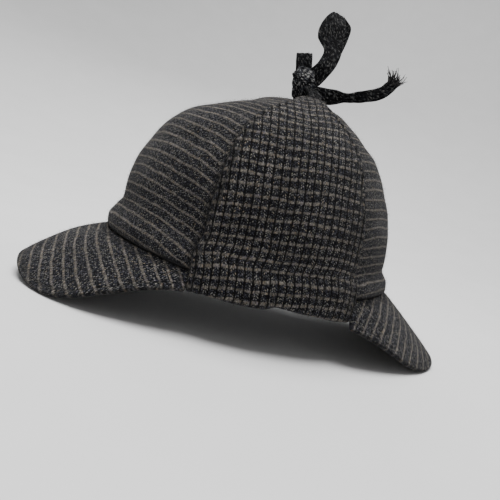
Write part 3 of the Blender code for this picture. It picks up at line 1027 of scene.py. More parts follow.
@dataclass
class Crown:
    """The six sewn panels of the crown, with the lining inside them."""

    form: CrownForm
    stand: Stand
    flaps: "EarFlaps"
    overlap: float = 0.00025
    top_path: float = 0.996
    grain: float = 0.42
    bow: float = 2.7
    ripple: Ripple = Ripple(0.030, 0.00030, 3)
    # Painted shade at the seams and rim, and painted shadow beside each flap's edge
    painted_shade: float = 0.80
    seam_shade: float = 0.0011
    flap_shade: float = 1.1
    columns: int = 56
    rows: int = 120

    def panel(self, start: float, end: float) -> Cloth:
        """Lay out one panel.

        Args:
            start: the angle of the seam nearer the front.
            end: the angle of the other seam.

        Returns:
            The panel's cloth.
        """
        path = self.top_path * shares(self.rows, 0.012)[:, None]
        across = shares(self.columns, 0.03)[None, :]
        radius = np.linalg.norm(self.form.base(90.0, path)[..., :2], axis=-1)
        radius = np.maximum(radius, 0.0004)
        extra = np.minimum(np.degrees(self.overlap / radius), 0.1 * (end - start))
        angle = blend(start - extra, end + extra, across)
        inside = np.clip(angle, start, end)
        out = self.form.relief(inside, path) - self.form.cloth / 2.0
        middle = self.form.point(angle, path, out)
        weave = laid_flat(middle, int(middle.shape[1] * self.grain), self.bow)
        # The ripples die out at the top and at the seams
        fade = np.minimum(1.0, (1.0 - path) / 0.15)
        away = np.minimum(angle - start, end - angle) / (end - start)
        own = replace(self.ripple, seed=self.ripple.seed + int(start))
        ripple = own.at(weave) * fade * np.clip(away * 12.0, 0.0, 1.0)
        middle = self.form.point(angle, path, out + ripple)
        half = np.full(path.shape[:1] + across.shape[1:], self.form.cloth / 2.0)
        cloth = Cloth(middle, half, weave, inside=1, closed=(True, True, True, False))
        # Painted shade along the seams and the rim, and a painted shadow beside each flap's
        # edge
        shade = ridge(cloth.border(), self.seam_shade)
        for side in (0.0, 1.0):
            beside = ridge(angle - self.flaps.angle(side, path), self.flap_shade)
            shade = np.maximum(shade, beside * (path < self.flaps.tip_path))
        cloth.shade = self.painted_shade * shade
        return cloth

    def build(self, finishes: Finishes) -> list[Cloth]:
        """Build and dress the panels, and return their cloths.

        Args:
            finishes: the scene's materials.

        Returns:
            The panels' cloths.
        """
        seams = self.form.seams
        built = []
        for place, start, end in zip(("front", "side", "back"), seams, seams[1:]):
            cloth = self.panel(start, end)
            materials = [finishes.striped, finishes.lining]
            for side, part in (("left", cloth), ("right", cloth.mirrored())):
                node = f"crown_{place}_{side}"
                piece = part.mesh("tweed_" + node, self.stand)
                finish_piece(piece, materials, (node,))
                built.append(part)
        return built


@dataclass
class HeadBand:
    """The cotton band sewn inside the rim, over the feet of the peaks."""

    form: CrownForm
    stand: Stand
    cloth: float = 0.0009
    clear: float = 0.0005
    flap_clear: float = 0.0036
    below_rim: float = 0.0026
    height: float = 0.0270
    wall_length: float = 0.17
    flap_from: float = 60.0
    flap_to: float = 130.0
    soften: float = 5.0

    def build(self, finishes: Finishes) -> None:
        """Build and dress the band's left and right halves.

        Args:
            finishes: the scene's materials.
        """
        angle = np.linspace(0.0, 180.0, 181)[None, :]
        rise = np.concatenate([[0.0, 0.02, 0.05, 0.1], np.linspace(0.16, 1.0, 14)])[:, None]
        over = np.clip((angle - self.flap_from) / self.soften, 0.0, 1.0)
        over = over * np.clip((self.flap_to - angle) / self.soften, 0.0, 1.0)
        top = 1.0 - np.clip((rise - 0.35) / 0.2, 0.0, 1.0)
        clear = self.form.cloth + self.clear + self.cloth / 2.0
        out = -(clear + self.flap_clear * over * top)
        up = rise * (self.height + self.below_rim) - self.below_rim
        rim = self.form.rim(angle)
        low = self.form.below(angle, rim + np.minimum(up, 0.0), out)
        path = np.maximum(up, 0.0) / self.wall_length
        high = self.form.point(angle, path, out)
        middle = np.where((up < 0.0)[..., None], low, high)
        weave = laid_flat(middle, 90, 0.0)
        half = np.full(middle.shape[:2], self.cloth / 2.0)
        cloth = Cloth(middle, half, weave, edge=0.0005)
        for side, part in (("left", cloth), ("right", cloth.mirrored())):
            piece = part.mesh(f"cotton_band_{side}", self.stand)
            finish_piece(piece, [finishes.band])


@dataclass
class EarFlaps:
    """The two flaps, each turned up over the rim and drawn to the top of the crown."""

    form: CrownForm
    stand: Stand
    cloth: float = 0.0026
    clearance: float = 0.0004
    drop: float = 0.0204
    inner_path: float = 0.045
    front_angle: float = 65.0
    rear_angle: float = 125.5
    tip_path: float = 0.900
    side_paths: Numbers = (0.0, 0.620, 0.680, 0.760, 1.0)
    front_sides: Numbers = (0.0, 0.5, 1.5, 3.0, 8.0)
    rear_sides: Numbers = (0.0, 1.0, -2.5, -10.5, -18.5)
    hem_places: Numbers = (0.0, 0.10, 0.30, 0.43, 0.50, 0.62, 0.80, 0.92, 1.0)
    hem_drops: Numbers = (1.01, 0.98, 1.01, 0.97, 0.84, 0.89, 0.96, 1.02, 1.02)
    grain: float = 0.577
    bow: float = 3.0
    edge: float = 0.0008
    inner_rows: int = 9
    fold_rows: int = 14
    columns: int = 84
    body_rows: int = 150
    body_end: float = 0.985
    broad_ripple: tuple[float, float] = (0.034, 0.00035)
    fine_ripple: tuple[float, float] = (0.012, 0.00012)
    seam_inset: float = 0.0036
    seam_proud: float = 0.00045
    seam_width: float = 0.0008
    shown_above: float = -0.015

    def angle(self, share: np.ndarray, path: np.ndarray) -> np.ndarray:
        """Return the angle at a share of the way from a flap's front side to its rear.

        Args:
            share: shares of the way across the flap.
            path: shares of the way up the crown.

        Returns:
            Degrees round the crown.
        """
        front = self.front_angle + Profile(self.side_paths, self.front_sides).at(path)
        rear = self.rear_angle + Profile(self.side_paths, self.rear_sides).at(path)
        return blend(front, rear, share)

    def flap(self, seed: int) -> Cloth:
        """Lay out one flap from its inner edge, round the hem and up to its tip.

        Args:
            seed: what its own soft ripples start from.

        Returns:
            The flap's cloth.
        """
        outer = self.form.puff + self.clearance + self.cloth / 2.0
        inner = -(self.form.cloth + self.clearance + self.cloth / 2.0)
        bend = (outer - inner) / 2.0
        share = shares(self.columns, 0.028)[None, :]
        angle = self.angle(share, 0.0)
        hem = -self.drop * Profile(self.hem_places, self.hem_drops).at(share)
        centre = hem + self.cloth / 2.0 + bend
        rim = self.form.rim(angle)
        rows = []
        # Down inside the rim, round the hem, and back up to the rim outside
        for up in shares(4, 0.2)[: self.inner_rows]:
            rows.append(self.form.point(angle, self.inner_path * (1.0 - up), inner))
        for down in np.linspace(0.0, 1.0, 6)[1:]:
            rows.append(self.form.below(angle, blend(rim, centre, down), inner))
        for turn in np.linspace(0.0, math.pi, self.fold_rows + 1)[1:]:
            out = (outer + inner) / 2.0 - bend * math.cos(turn)
            rows.append(self.form.below(angle, centre - bend * math.sin(turn), out))
        for up in np.linspace(0.0, 1.0, 6)[1:-1]:
            rows.append(self.form.below(angle, blend(centre, rim, up), outer))
        start = len(rows)
        body = np.linspace(0.0, self.body_end, self.body_rows)
        tip = self.body_end + (1.0 - self.body_end) * np.array([0.4, 0.7, 0.9, 1.0])
        for up in np.concatenate([body, tip]) * self.tip_path:
            rows.append(self.form.point(self.angle(share, up), up, outer))
        middle = np.concatenate([row.reshape(1, -1, 3) for row in rows])
        column = int(self.grain * middle.shape[1])
        weave = laid_flat(middle, column, self.bow, start)
        half = np.full(middle.shape[:2], self.cloth / 2.0)
        cloth = Cloth(middle, half, weave, edge=self.edge)
        rise = np.clip((weave[..., 1] + 0.012) / 0.012, 0.0, 1.0)
        rise[:start] = 0.0
        ripple = Ripple(*self.broad_ripple, seed).at(weave)
        ripple = ripple + Ripple(*self.fine_ripple, seed + 1).at(weave)
        # The turned-in edge stands a little proud of the rest, and a seam holds it
        near = cloth.border()
        shown = weave[..., 1] > self.shown_above
        seam = self.seam_proud * ridge(near - self.seam_inset, self.seam_width)
        lift = np.maximum(ripple, -0.0002) * rise - seam * shown
        cloth.middle = middle + cloth.outward() * lift[..., None]
        # Painted shade in the stitched seam's groove and along the edge, where it shows
        groove_shade = ridge(near - self.seam_inset, 0.0006) * stitches(weave)
        cloth.shade = shown * (0.8 * groove_shade + 0.75 * ridge(near, 0.0007))
        return cloth

    def build(self, finishes: Finishes) -> list[Cloth]:
        """Build and dress both flaps, and return their cloths.

        Args:
            finishes: the scene's materials.

        Returns:
            The flaps' cloths.
        """
        flaps = (("left", self.flap(11)), ("right", self.flap(23).mirrored()))
        for side, part in flaps:
            piece = part.mesh(f"tweed_ear_flap_{side}", self.stand)
            finish_piece(piece, [finishes.checked], (f"ear_flap_{side}",))
        return [part for _, part in flaps]


@dataclass
class Peak:
    """A stiffened peak, ruled from the rim to an outer edge that droops at the sides.

    Attributes:
        backward: whether it is the one behind.
        reach: how far it comes from the middle of the rim.
        shoulder: how far from there its outer edge would meet the crown's widest line.
        drop: how low the lowest part of its outer edge hangs.
        bulge: how far it swells between the rim and the outer edge.
        half_angle: the part of the rim that it is sewn to, either side of its middle.
        squareness: the power of its outline, 2 for an ellipse.
        edge: shares of the drop at equal steps along the outer edge.
        crown_angle: where it meets the flap, in degrees from its middle.
        end_tuck: how far it runs in behind the flap there.
        bow: how much its lines curve back, per metre.
    """

    name: str
    form: CrownForm
    stand: Stand
    backward: bool
    reach: float
    half_width: float
    shoulder: float
    drop: float
    bulge: float
    half_angle: float
    squareness: float
    edge: Numbers
    crown_angle: float
    thickness: float = 0.0036
    rounding: float = 0.0013
    end_tuck: float = 1.4
    bow: float = 4.4
    stretch: float = 1.06
    tuck: float = 0.0016
    seam_drop: float = 0.0006
    seam_inset: float = 0.0050
    seam_depth: float = 0.00025
    ripple: Ripple = Ripple(0.040, 0.00025, 5)
    columns: int = 150
    rows: int = 56

    def outer_edge(self, angle: np.ndarray) -> np.ndarray:
        """Return points of the outer edge at degrees from the peak's middle.

        Args:
            angle: degrees from the peak's middle.

        Returns:
            The points.
        """
        turn = np.radians(angle)
        power = 2.0 / self.squareness
        x = self.half_width * np.sign(turn) * np.abs(np.sin(turn)) ** power
        forward = np.abs(np.cos(turn)) ** power
        y = -self.shoulder - (self.reach - self.shoulder) * forward
        z = -self.drop * even_curve(self.edge, angle)
        return np.stack(np.broadcast_arrays(x, y, z), -1)

    def end_angle(self) -> float:
        """Return where the outer edge meets the flap's side, in degrees."""
        angle = np.linspace(0.0, 90.0, 9001)
        edge = self.outer_edge(angle)
        x, y = edge[:, 0] / self.form.half_width, -edge[:, 1] / self.form.half_length
        turned = np.degrees(np.arctan2(x, y))
        return float(angle[np.searchsorted(turned, self.crown_angle + self.end_tuck)])

    def cloth(self) -> Cloth:
        """Lay out the peak's two layers as one thick sheet."""
        end = self.end_angle()
        angle = blend(-end, end, shares(self.columns, 0.01))[None, :]
        share = shares(self.rows, 0.025)[:, None]
        around = self.half_angle * angle / 90.0
        foot = self.form.below(around, self.form.rim(around) - self.seam_drop, -self.tuck)
        points = blend(foot, self.outer_edge(angle), share[..., None])
        lift = 4.0 * share * (1.0 - share) * np.cos(np.radians(angle)) ** 2
        points[..., 2] += self.bulge * lift
        # Both peaks face up, with their columns in the same order
        points = points[:, ::-1]
        bow, ripple = -self.bow, self.ripple
        if self.backward:
            points = points[::-1] * np.array([1.0, -1.0, 1.0])
            bow, ripple = self.bow, replace(ripple, seed=ripple.seed + 1)
        weave = points[..., :2] * np.array([1.0, self.stretch])
        weave[..., 1] += bow * points[..., 0] ** 2
        half = np.full(points.shape[:2], self.thickness / 2.0)
        sheet = Cloth(points, half, weave)
        near = sheet.border()
        seam = self.seam_depth * ridge(near - self.seam_inset, 0.0010)
        down = sheet.outward() * (self.thickness / 2.0 - ripple.at(weave) + seam)[..., None]
        # Painted shade in the stitched seam and along the outer edge
        shade = 0.6 * ridge(near - self.seam_inset, 0.0007) * stitches(weave)
        shade = shade + 0.4 * ridge(near, 0.0008)
        return Cloth(points - down, half, weave, edge=self.rounding, shade=shade)

    def build(self, finishes: Finishes) -> Cloth:
        """Build and dress the peak, and return its cloth.

        Args:
            finishes: the scene's materials.

        Returns:
            The peak's cloth.
        """
        sheet = self.cloth()
        piece = sheet.mesh("tweed_" + self.name, self.stand)
        finish_piece(piece, [finishes.peak], (self.name,))
        return sheet


def ring_faces(rows: int, columns: int) -> np.ndarray:
    """Return the faces of a grid whose last column joins its first.

    Args:
        rows: how many rows of points it has.
        columns: how many points there are round it.

    Returns:
        Four vertex numbers for each face.
    """
    grid = np.arange(rows * columns).reshape(rows, columns)
    grid = np.hstack([grid, grid[:, :1]])
    faces = np.stack([grid[:-1, :-1], grid[:-1, 1:], grid[1:, 1:], grid[1:, :-1]], -1)
    return faces.reshape(-1, 4)


def smooth_route(points: np.ndarray, share: np.ndarray) -> np.ndarray:
    """Read a smooth curve through points.

    Args:
        points: the points, one to a row.
        share: shares of the way along them.

    Returns:
        The curve's points.
    """
    points = np.asarray(points, float)
    padded = np.vstack([2 * points[0] - points[1], points, 2 * points[-1] - points[-2]])
    count = len(points) - 1
    place = np.clip(share, 0.0, 1.0) * count
    i = np.minimum(place.astype(int), count - 1)
    s = (place - i)[:, None]
    start, end = padded[i + 1], padded[i + 2]
    leave, arrive = (end - padded[i]) / 2.0, (padded[i + 3] - start) / 2.0
    return (
        start * (2 * s**3 - 3 * s**2 + 1)
        + leave * (s**3 - 2 * s**2 + s)
        + end * (3 * s**2 - 2 * s**3)
        + arrive * (s**3 - s**2)
    )


def thread_mesh(
    name: str, lines: np.ndarray, thickness: np.ndarray, stand: Stand
) -> bpy.types.Object:
    """Build loose threads as thin tapered rods in one mesh.

    Args:
        name: the piece's name.
        lines: the points along each thread.
        thickness: how thick each is where it leaves the cloth.
        stand: where the hat stands.

    Returns:
        The new object.
    """
    count, steps = lines.shape[:2]
    along = unit(np.gradient(lines, axis=1))
    side = unit(np.cross(along, [0.3, 0.5, 0.81]))
    turn = np.radians([[0.0], [120.0], [240.0]])
    other = np.cross(along, side)
    ring = side[:, :, None] * np.cos(turn) + other[:, :, None] * np.sin(turn)
    radius = thickness[:, None] / 2.0 * np.linspace(1.0, 0.35, steps)
    points = (lines[:, :, None] + ring * radius[:, :, None, None]).reshape(-1, 3)
    number = np.arange(count * steps * 3).reshape(count, steps, 3)
    beside = np.roll(number, -1, axis=2)
    low, high = number[:, :-1], number[:, 1:]
    sides = [(low, beside[:, :-1], beside[:, 1:]), (low, beside[:, 1:], high)]
    faces = [np.stack(corners, -1).reshape(-1, 3) for corners in sides]
    faces = np.vstack([*faces, number[:, 0, ::-1], number[:, -1]])
    return new_mesh(name, stand.place(points), faces, points[:, 1:])


@dataclass(frozen=True)
class WoolBloom:
    """The short loose fibres that stand out of brushed wool.

    They are drawn about three times as thick as real ones, to show.

    Attributes:
        seed: what their random places start from.
        density: how many stand on a square metre.
    """

    seed: int
    density: float = 1.3e5
    shortest: float = 0.0010
    longest: float = 0.0030
    thickness: float = 0.00009

    def mesh(self, name: str, cloths: list[Cloth], stand: Stand) -> bpy.types.Object:
        """Build the fibres of some cloths as one piece.

        Args:
            name: the piece's name.
            cloths: the cloths that they stand on.
            stand: where the hat stands.

        Returns:
            The new object.
        """
        random = np.random.default_rng(self.seed)
        lines = []
        for cloth in cloths:
            outward = cloth.outward()
            skin = cloth.middle + outward * cloth.half[..., None]
            one, two = np.diff(skin[:-1], axis=1), np.diff(skin[:, :-1], axis=0)
            area = np.linalg.norm(np.cross(one, two), axis=2)
            weight = (area * (cloth.border()[:-1, :-1] > cloth.edge)).ravel()
            count = int(weight.sum() * self.density)
            cell = random.choice(weight.size, count, p=weight / weight.sum())
            row, column = np.unravel_index(cell, area.shape)
            u, v = random.random((2, count, 1))
            root = skin[row, column] + one[row, column] * u + two[row, column] * v
            normal = outward[row, column]
            lean = unit(np.cross(normal, random.normal(size=(count, 3))))
            reach = random.uniform(self.shortest, self.longest, (count, 1))
            rise = random.uniform(0.15, 0.8, (count, 1))
            tip = root + (normal * rise + lean * 0.8) * reach
            bend = blend(root, tip, 0.5) + normal * 0.2 * reach
            lines.append(np.stack([root - normal * self.thickness, bend, tip], 1))
        fibres = np.concatenate(lines)
        return thread_mesh(name, fibres, np.full(len(fibres), self.thickness), stand)


@dataclass(frozen=True)
class TieBase:
    """Where one tape leaves its flap and where it meets the knot.

    Attributes:
        side: 1 on the wearer's left and -1 on the right.
        ends: the shares of the flap's tip that it covers.
        toward: the way from the knot's middle to where it meets it.
        across: the way across it there.
    """

    side: float
    ends: tuple[float, float]
    toward: Numbers
    across: Numbers


@dataclass(frozen=True)
class Wrap:
    """A band of tape drawn round the knot.

    Attributes:
        name: what the band is called.
        lean: how far it leans back from upright, in radians.
        depth: how far it reaches to the left and to the right.
        rise: how far it reaches up and down.
        width: how wide the tape is.
        shift: how far back its middle lies.
    """

    name: str
    lean: float
    depth: float
    rise: float
    width: float
    shift: float


@dataclass
class TieBow:
    """The ties: two bases, the knot, a short and a tall loop, and one frayed loose end.

    A row of a loop or of the tail is a place, the way across the tape there, and its
    width, all as shares: of the loop's rise or the tail's reach, and of the tape's width.

    Attributes:
        gap: what is left between a tape and the knot that it only meets.
        sink: how far off the knot a loop's ends are, below nothing where they go in.
        knot_half: the knot's half sizes.
        knot_shift: where its middle is, from the top of the crown.
    """

    form: CrownForm
    flaps: EarFlaps
    stand: Stand
    width: float = 0.0130
    thickness: float = 0.0014
    gap: float = 0.00086
    sink: float = -0.0015
    knot_half: Numbers = (0.0070, 0.0090, 0.0085)
    knot_shift: Numbers = (0.001, -0.003, 0.0125)
    knot_rows: int = 40
    knot_columns: int = 64
    knot_crease: float = 0.10
    wraps: tuple[Wrap, ...] = (
        Wrap("upright", 0.08, 0.0078, 0.0100, 0.0122, -0.0010),
        Wrap("slanted", 0.95, 0.0086, 0.0102, 0.0085, 0.0012),
    )
    wrap_ripple: Ripple = Ripple(0.007, 0.0003, 31)
    bases: tuple[TieBase, ...] = (
        TieBase(1.0, (0.40, 1.12), (0.80, 0.55, -0.42), (-0.38, 0.92, 0.0)),
        TieBase(-1.0, (-0.10, 1.10), (-0.80, -0.25, -0.42), (0.0, 0.92, 0.0)),
    )
    fray_threads: int = 110
    fray_reach: tuple[float, float] = (0.0045, 0.0072)
    fray_thickness: tuple[float, float] = (0.00070, 0.00110)
    fray_spread: float = 0.30
    fray_curl: float = 0.35
    short_rise: float = 0.0125
    tall_rise: float = 0.0460
    tail_reach: float = 0.0560
    short_rows: tuple[Numbers, ...] = (
        (0.016, -0.109, 0.500, 0.00, 0.97, 0.25, 0.93),
        (-0.120, -0.172, 0.930, 0.00, 0.97, 0.25, 0.91),
        (-0.296, -0.036, 0.500, 0.00, 0.97, 0.25, 0.90),
    )
    tall_rows: tuple[Numbers, ...] = (
        (0.057, 0.135, 0.146, 0.00, 1.00, 0.03, 1.05),
        (-0.011, 0.195, 0.398, -0.07, 0.98, 0.19, 1.05),
        (-0.065, 0.119, 0.580, -0.10, 0.97, 0.20, 1.48),
        (-0.098, 0.120, 0.787, -0.15, 0.96, 0.22, 1.51),
        (-0.196, 0.181, 0.985, -0.19, 0.97, -0.12, 0.82),
        (-0.283, 0.301, 0.896, -0.14, 0.99, 0.02, 1.09),
        (-0.272, 0.286, 0.670, -0.06, 0.98, 0.21, 1.20),
        (-0.152, 0.231, 0.400, -0.08, 0.99, 0.14, 1.02),
        (-0.054, 0.144, 0.150, 0.00, 1.00, 0.07, 1.05),
    )
    tail_rows: tuple[Numbers, ...] = (
        (0.020, 0.180, 0.000, 0.00, 0.10, 1.00, 0.92),
        (0.057, 0.396, 0.041, 0.75, 0.00, 0.60, 0.70),
        (0.075, 0.630, 0.121, 0.45, -0.10, 0.88, 0.70),
        (0.075, 0.825, 0.210, 0.30, -0.35, 0.88, 0.70),
        (0.075, 0.930, 0.318, 0.30, -0.80, 0.50, 0.70),
        (0.075, 0.977, 0.416, 0.30, -0.95, 0.10, 0.70),
    )

    def centre(self) -> np.ndarray:
        """Return the middle of the knot."""
        return self.form.base(0.0, 1.0) + np.array(self.knot_shift)

    def seat(self, direction: Numbers, clear: float) -> np.ndarray:
        """Return a point just off the knot, in a direction from its middle.

        Args:
            direction: the way from the knot's middle.
            clear: how far off the knot it is.

        Returns:
            The point.
        """
        towards = unit(np.array(direction))
        reach = 1.0 / np.linalg.norm(towards / np.array(self.knot_half))
        return self.centre() + towards * (reach + clear)

    def tape(self, stations: list[tuple[Any, Any, float]], rows: int) -> Cloth:
        """Lay out a tape with two soft grooves along it.

        Args:
            stations: for each, its middle point, the way across it and its width.
            rows: how many steps it has along it.

        Returns:
            The tape's cloth.
        """
        share = shares(rows, 0.02)
        middles = smooth_route(np.array([s[0] for s in stations]), share)
        across = unit(smooth_route(unit(np.array([s[1] for s in stations], float)), share))
        widths = smooth_route(np.array([[s[2]] for s in stations]), share)
        place = shares(18, 0.08) - 0.5
        offset = across * widths
        middle = middles[:, None] + offset[:, None] * place[None, :, None]
        steps = np.linalg.norm(np.diff(middles, axis=0), axis=1)
        length = np.pad(np.cumsum(steps), (1, 0))
        x = place[None, :] * widths
        weave = np.stack([x, np.broadcast_to(length[:, None], x.shape)], -1)
        ridges = 0.80 + 0.45 * np.abs(np.sin(1.5 * math.pi * 2.0 * place))[None, :]
        half = np.broadcast_to(ridges * self.thickness / 2.0, x.shape).copy()
        return Cloth(middle, half, weave, edge=0.0009)

    def rows_from(
        self, rows: tuple[Numbers, ...], start: np.ndarray, reach: float
    ) -> list[tuple[Any, Any, float]]:
        """Turn a table's rows into tape stations.

        Args:
            rows: the table.
            start: the point that its places start from.
            reach: the length that its places are shares of.

        Returns:
            For each row its point, the way across the tape and the tape's width.
        """
        return [
            (start + np.array(row[:3]) * reach, row[3:6], row[6] * self.width)
            for row in rows
        ]

    def base(self, base: TieBase) -> Cloth:
        """Lay out the tape from one flap's tip up to the knot.

        Args:
            base: where it starts and ends.

        Returns:
            The tape's cloth.
        """
        flaps = self.flaps
        outer = self.form.puff + flaps.clearance + flaps.cloth / 2.0
        ends = flaps.angle(np.array(base.ends), flaps.tip_path)
        corners = self.form.point(ends, flaps.tip_path + 0.004, outer)
        flip = np.array([base.side, 1.0, 1.0])
        start = corners.mean(axis=0) * flip
        across = (corners[1] - corners[0]) * flip
        end = self.seat(base.toward, self.gap)
        middle = blend(start, end, 0.5) + np.array([0.0, 0.0, 0.0008])
        stations = [
            (start, across, min(1.15 * self.width, float(np.linalg.norm(across)))),
            (middle, across, 0.90 * self.width),
            (end, base.across, 0.70 * self.width),
        ]
        return self.tape(stations, 24)

    def knot(self, finishes: Finishes) -> None:
        """Build the knot: a drawn-up lump with the bands that wrap it.

        Args:
            finishes: the scene's materials.
        """
        up = np.linspace(0.02, math.pi - 0.02, self.knot_rows)[:, None]
        around = np.linspace(0.0, 2.0 * math.pi, self.knot_columns, endpoint=False)[None, :]
        x, y, z = np.broadcast_arrays(
            np.sin(up) * np.cos(around), np.sin(up) * np.sin(around), -np.cos(up)
        )
        crease = 1.0 - self.knot_crease * np.clip(np.sin(y * 7.0 + z * 2.2), 0.0, 1.0) ** 2
        direction = np.stack([x, y, z], -1)
        points = self.centre() + direction * np.array(self.knot_half) * crease[..., None]
        weave = np.stack([y * 0.009, z * 0.012], -1)
        faces = ring_faces(*y.shape)
        points = self.stand.place(points.reshape(-1, 3))
        piece = new_mesh("tape_knot_core", points, faces, weave.reshape(-1, 2))
        finish_piece(piece, [finishes.knot], ("tie_knot",))
        for wrap in self.wraps:
            band = self.wrap(wrap)
            piece = band.mesh(f"tape_knot_{wrap.name}", self.stand)
            finish_piece(piece, [finishes.knot])

    def wrap(self, wrap: Wrap) -> Cloth:
        """Lay out a band of tape once round the knot, pinched where it is drawn tight.

        Args:
            wrap: the band's place and size.

        Returns:
            The band's cloth.
        """
        across = np.array([0.0, math.cos(wrap.lean), math.sin(wrap.lean)])
        along = np.array([0.0, -math.sin(wrap.lean), math.cos(wrap.lean)])
        middle = self.centre() + across * wrap.shift
        stations = []
        for turn in np.linspace(-0.5, 1.5, 19) * math.pi + 0.25:
            place = middle + np.array([wrap.depth * math.cos(turn), 0.0, 0.0])
            place = place + along * wrap.rise * math.sin(turn)
            pinch = 1.0 - 0.22 * math.cos(turn + 0.6) ** 2
            stations.append((place, across, wrap.width * pinch))
        band = self.tape(stations, 90)
        soft = self.wrap_ripple.at(band.weave)
        band.middle = band.middle + band.outward() * soft[..., None]
        return band

    def fray(self, finishes: Finishes, tail: Cloth) -> None:
        """Build the loose threads at the end of the tail.

        Args:
            finishes: the scene's materials.
            tail: the tail's cloth, whose last row they leave from.
        """
        random = np.random.default_rng(7)
        end = tail.middle[-3]
        forward = unit(tail.middle[-3] - tail.middle[-12]).mean(axis=0)
        across = unit(end[-1] - end[0])
        face = unit(np.cross(across, forward))
        wide = self.fray_spread
        share = np.linspace(0.0, 1.0, 7)[:, None]
        lines, thickness = [], []
        for i in range(self.fray_threads):
            # Each thread starts inside the tape, and a few are longer or stand up
            start = blend(end[0], end[-1], random.uniform(0.0, 1.0)) - forward * 0.0040
            spread = random.normal(0.0, wide) * across + random.normal(0.0, wide) * face
            reach = random.uniform(*self.fray_reach) * (1.30 if i % 18 == 0 else 1.0)
            curl = random.normal(0.0, self.fray_curl, 3) * reach
            lift = np.array([0.0, -0.55, 0.55]) * reach * (1.0 if i % 4 == 0 else 0.35)
            line = start + (forward + spread) * reach * share + (curl + lift) * share**2
            lines.append(line)
            thickness.append(random.uniform(*self.fray_thickness))
        threads = np.array(lines), np.array(thickness)
        piece = thread_mesh("tape_tail_fray", *threads, self.stand)
        finish_piece(piece, [finishes.thread])

    def build(self, finishes: Finishes) -> None:
        """Build and dress every part of the ties.

        Args:
            finishes: the scene's materials.
        """
        self.knot(finishes)
        ridge = self.width * 0.055
        crest = self.centre() + np.array([0.0, 0.0, self.knot_half[2]])
        level = (0.0, 0.98, 0.20)
        short = [(self.seat((-0.20, -0.30, 1.0), self.sink), level, 0.88 * self.width)]
        short += self.rows_from(
            self.short_rows, crest + np.array([-0.0015, -0.0025, 0.0]), self.short_rise
        )
        short += [(self.seat((-0.60, -0.30, 0.90), self.sink), level, 0.88 * self.width)]
        low = self.seat((0.50, 0.65, 0.50), 2.0 * self.sink)
        tall = [(low, (0.0, 0.84, -0.54), self.width)]
        tall += self.rows_from(
            self.tall_rows, crest + np.array([0.002, 0.005, 0.0]), self.tall_rise
        )
        tall += [(self.seat((0.10, 0.80, 0.70), self.sink), (0.0, 0.80, -0.60), self.width)]
        seat = self.seat((0.10, 1.0, -0.55), self.gap)
        tail = [(seat, (0.0, 0.2, 1.0), 0.75 * self.width)]
        tail += self.rows_from(self.tail_rows, seat, self.tail_reach)
        parts = {
            "tie_base_left": self.base(self.bases[0]),
            "tie_base_right": self.base(self.bases[1]),
            "tie_loop_short": self.tape(short, 60),
            "tie_loop_tall": self.tape(tall, 130),
            "tie_tail": self.tape(tail, 90),
        }
        for node, cloth in parts.items():
            soft = Ripple(0.009, 0.00022, len(node)).at(cloth.weave)
            if node == "tie_tail":
                soft = soft + 0.00035 * np.cos(cloth.weave[..., 0] / ridge * math.pi / 2.0)
            cloth.middle = cloth.middle + cloth.outward() * soft[..., None]
            piece = cloth.mesh(node.replace("tie_", "tape_"), self.stand)
            finish_piece(piece, [finishes.tape], (node,))
        self.fray(finishes, parts["tie_tail"])
        bloom = WoolBloom(seed=3, density=6e5)
        piece = bloom.mesh("wool_fibres_ties", list(parts.values()), self.stand)
        finish_piece(piece, [finishes.thread])


@dataclass(frozen=True)
class Lamp:
    """A round softbox.

    Attributes:
        name: the lamp's name.
        place: where it hangs.
        size: how wide its panel is.
        power: its strength in watts.
        aim: what it shines on, which is the hat unless told otherwise.
    """

    name: str
    place: Numbers
    size: float
    power: float
    aim: Numbers = (0.0, 0.0, 0.1)

    def hang(self) -> None:
        """Hang the lamp."""
        lamp = bpy.data.lights.new(self.name, "AREA")
        lamp.shape, lamp.size, lamp.energy = "DISK", self.size, self.power
        holder = bpy.data.objects.new(self.name, lamp)
        toward = unit(np.array(self.aim) - np.array(self.place))
        side = unit(np.cross(toward, [0.3, 0.1, 1.0]))
        turn = np.stack([side, np.cross(toward, side), -toward], 1)
        matrix = Matrix(turn.tolist()).to_4x4()
        matrix.translation = self.place
        holder.matrix_world = matrix
        bpy.context.scene.collection.objects.link(holder)


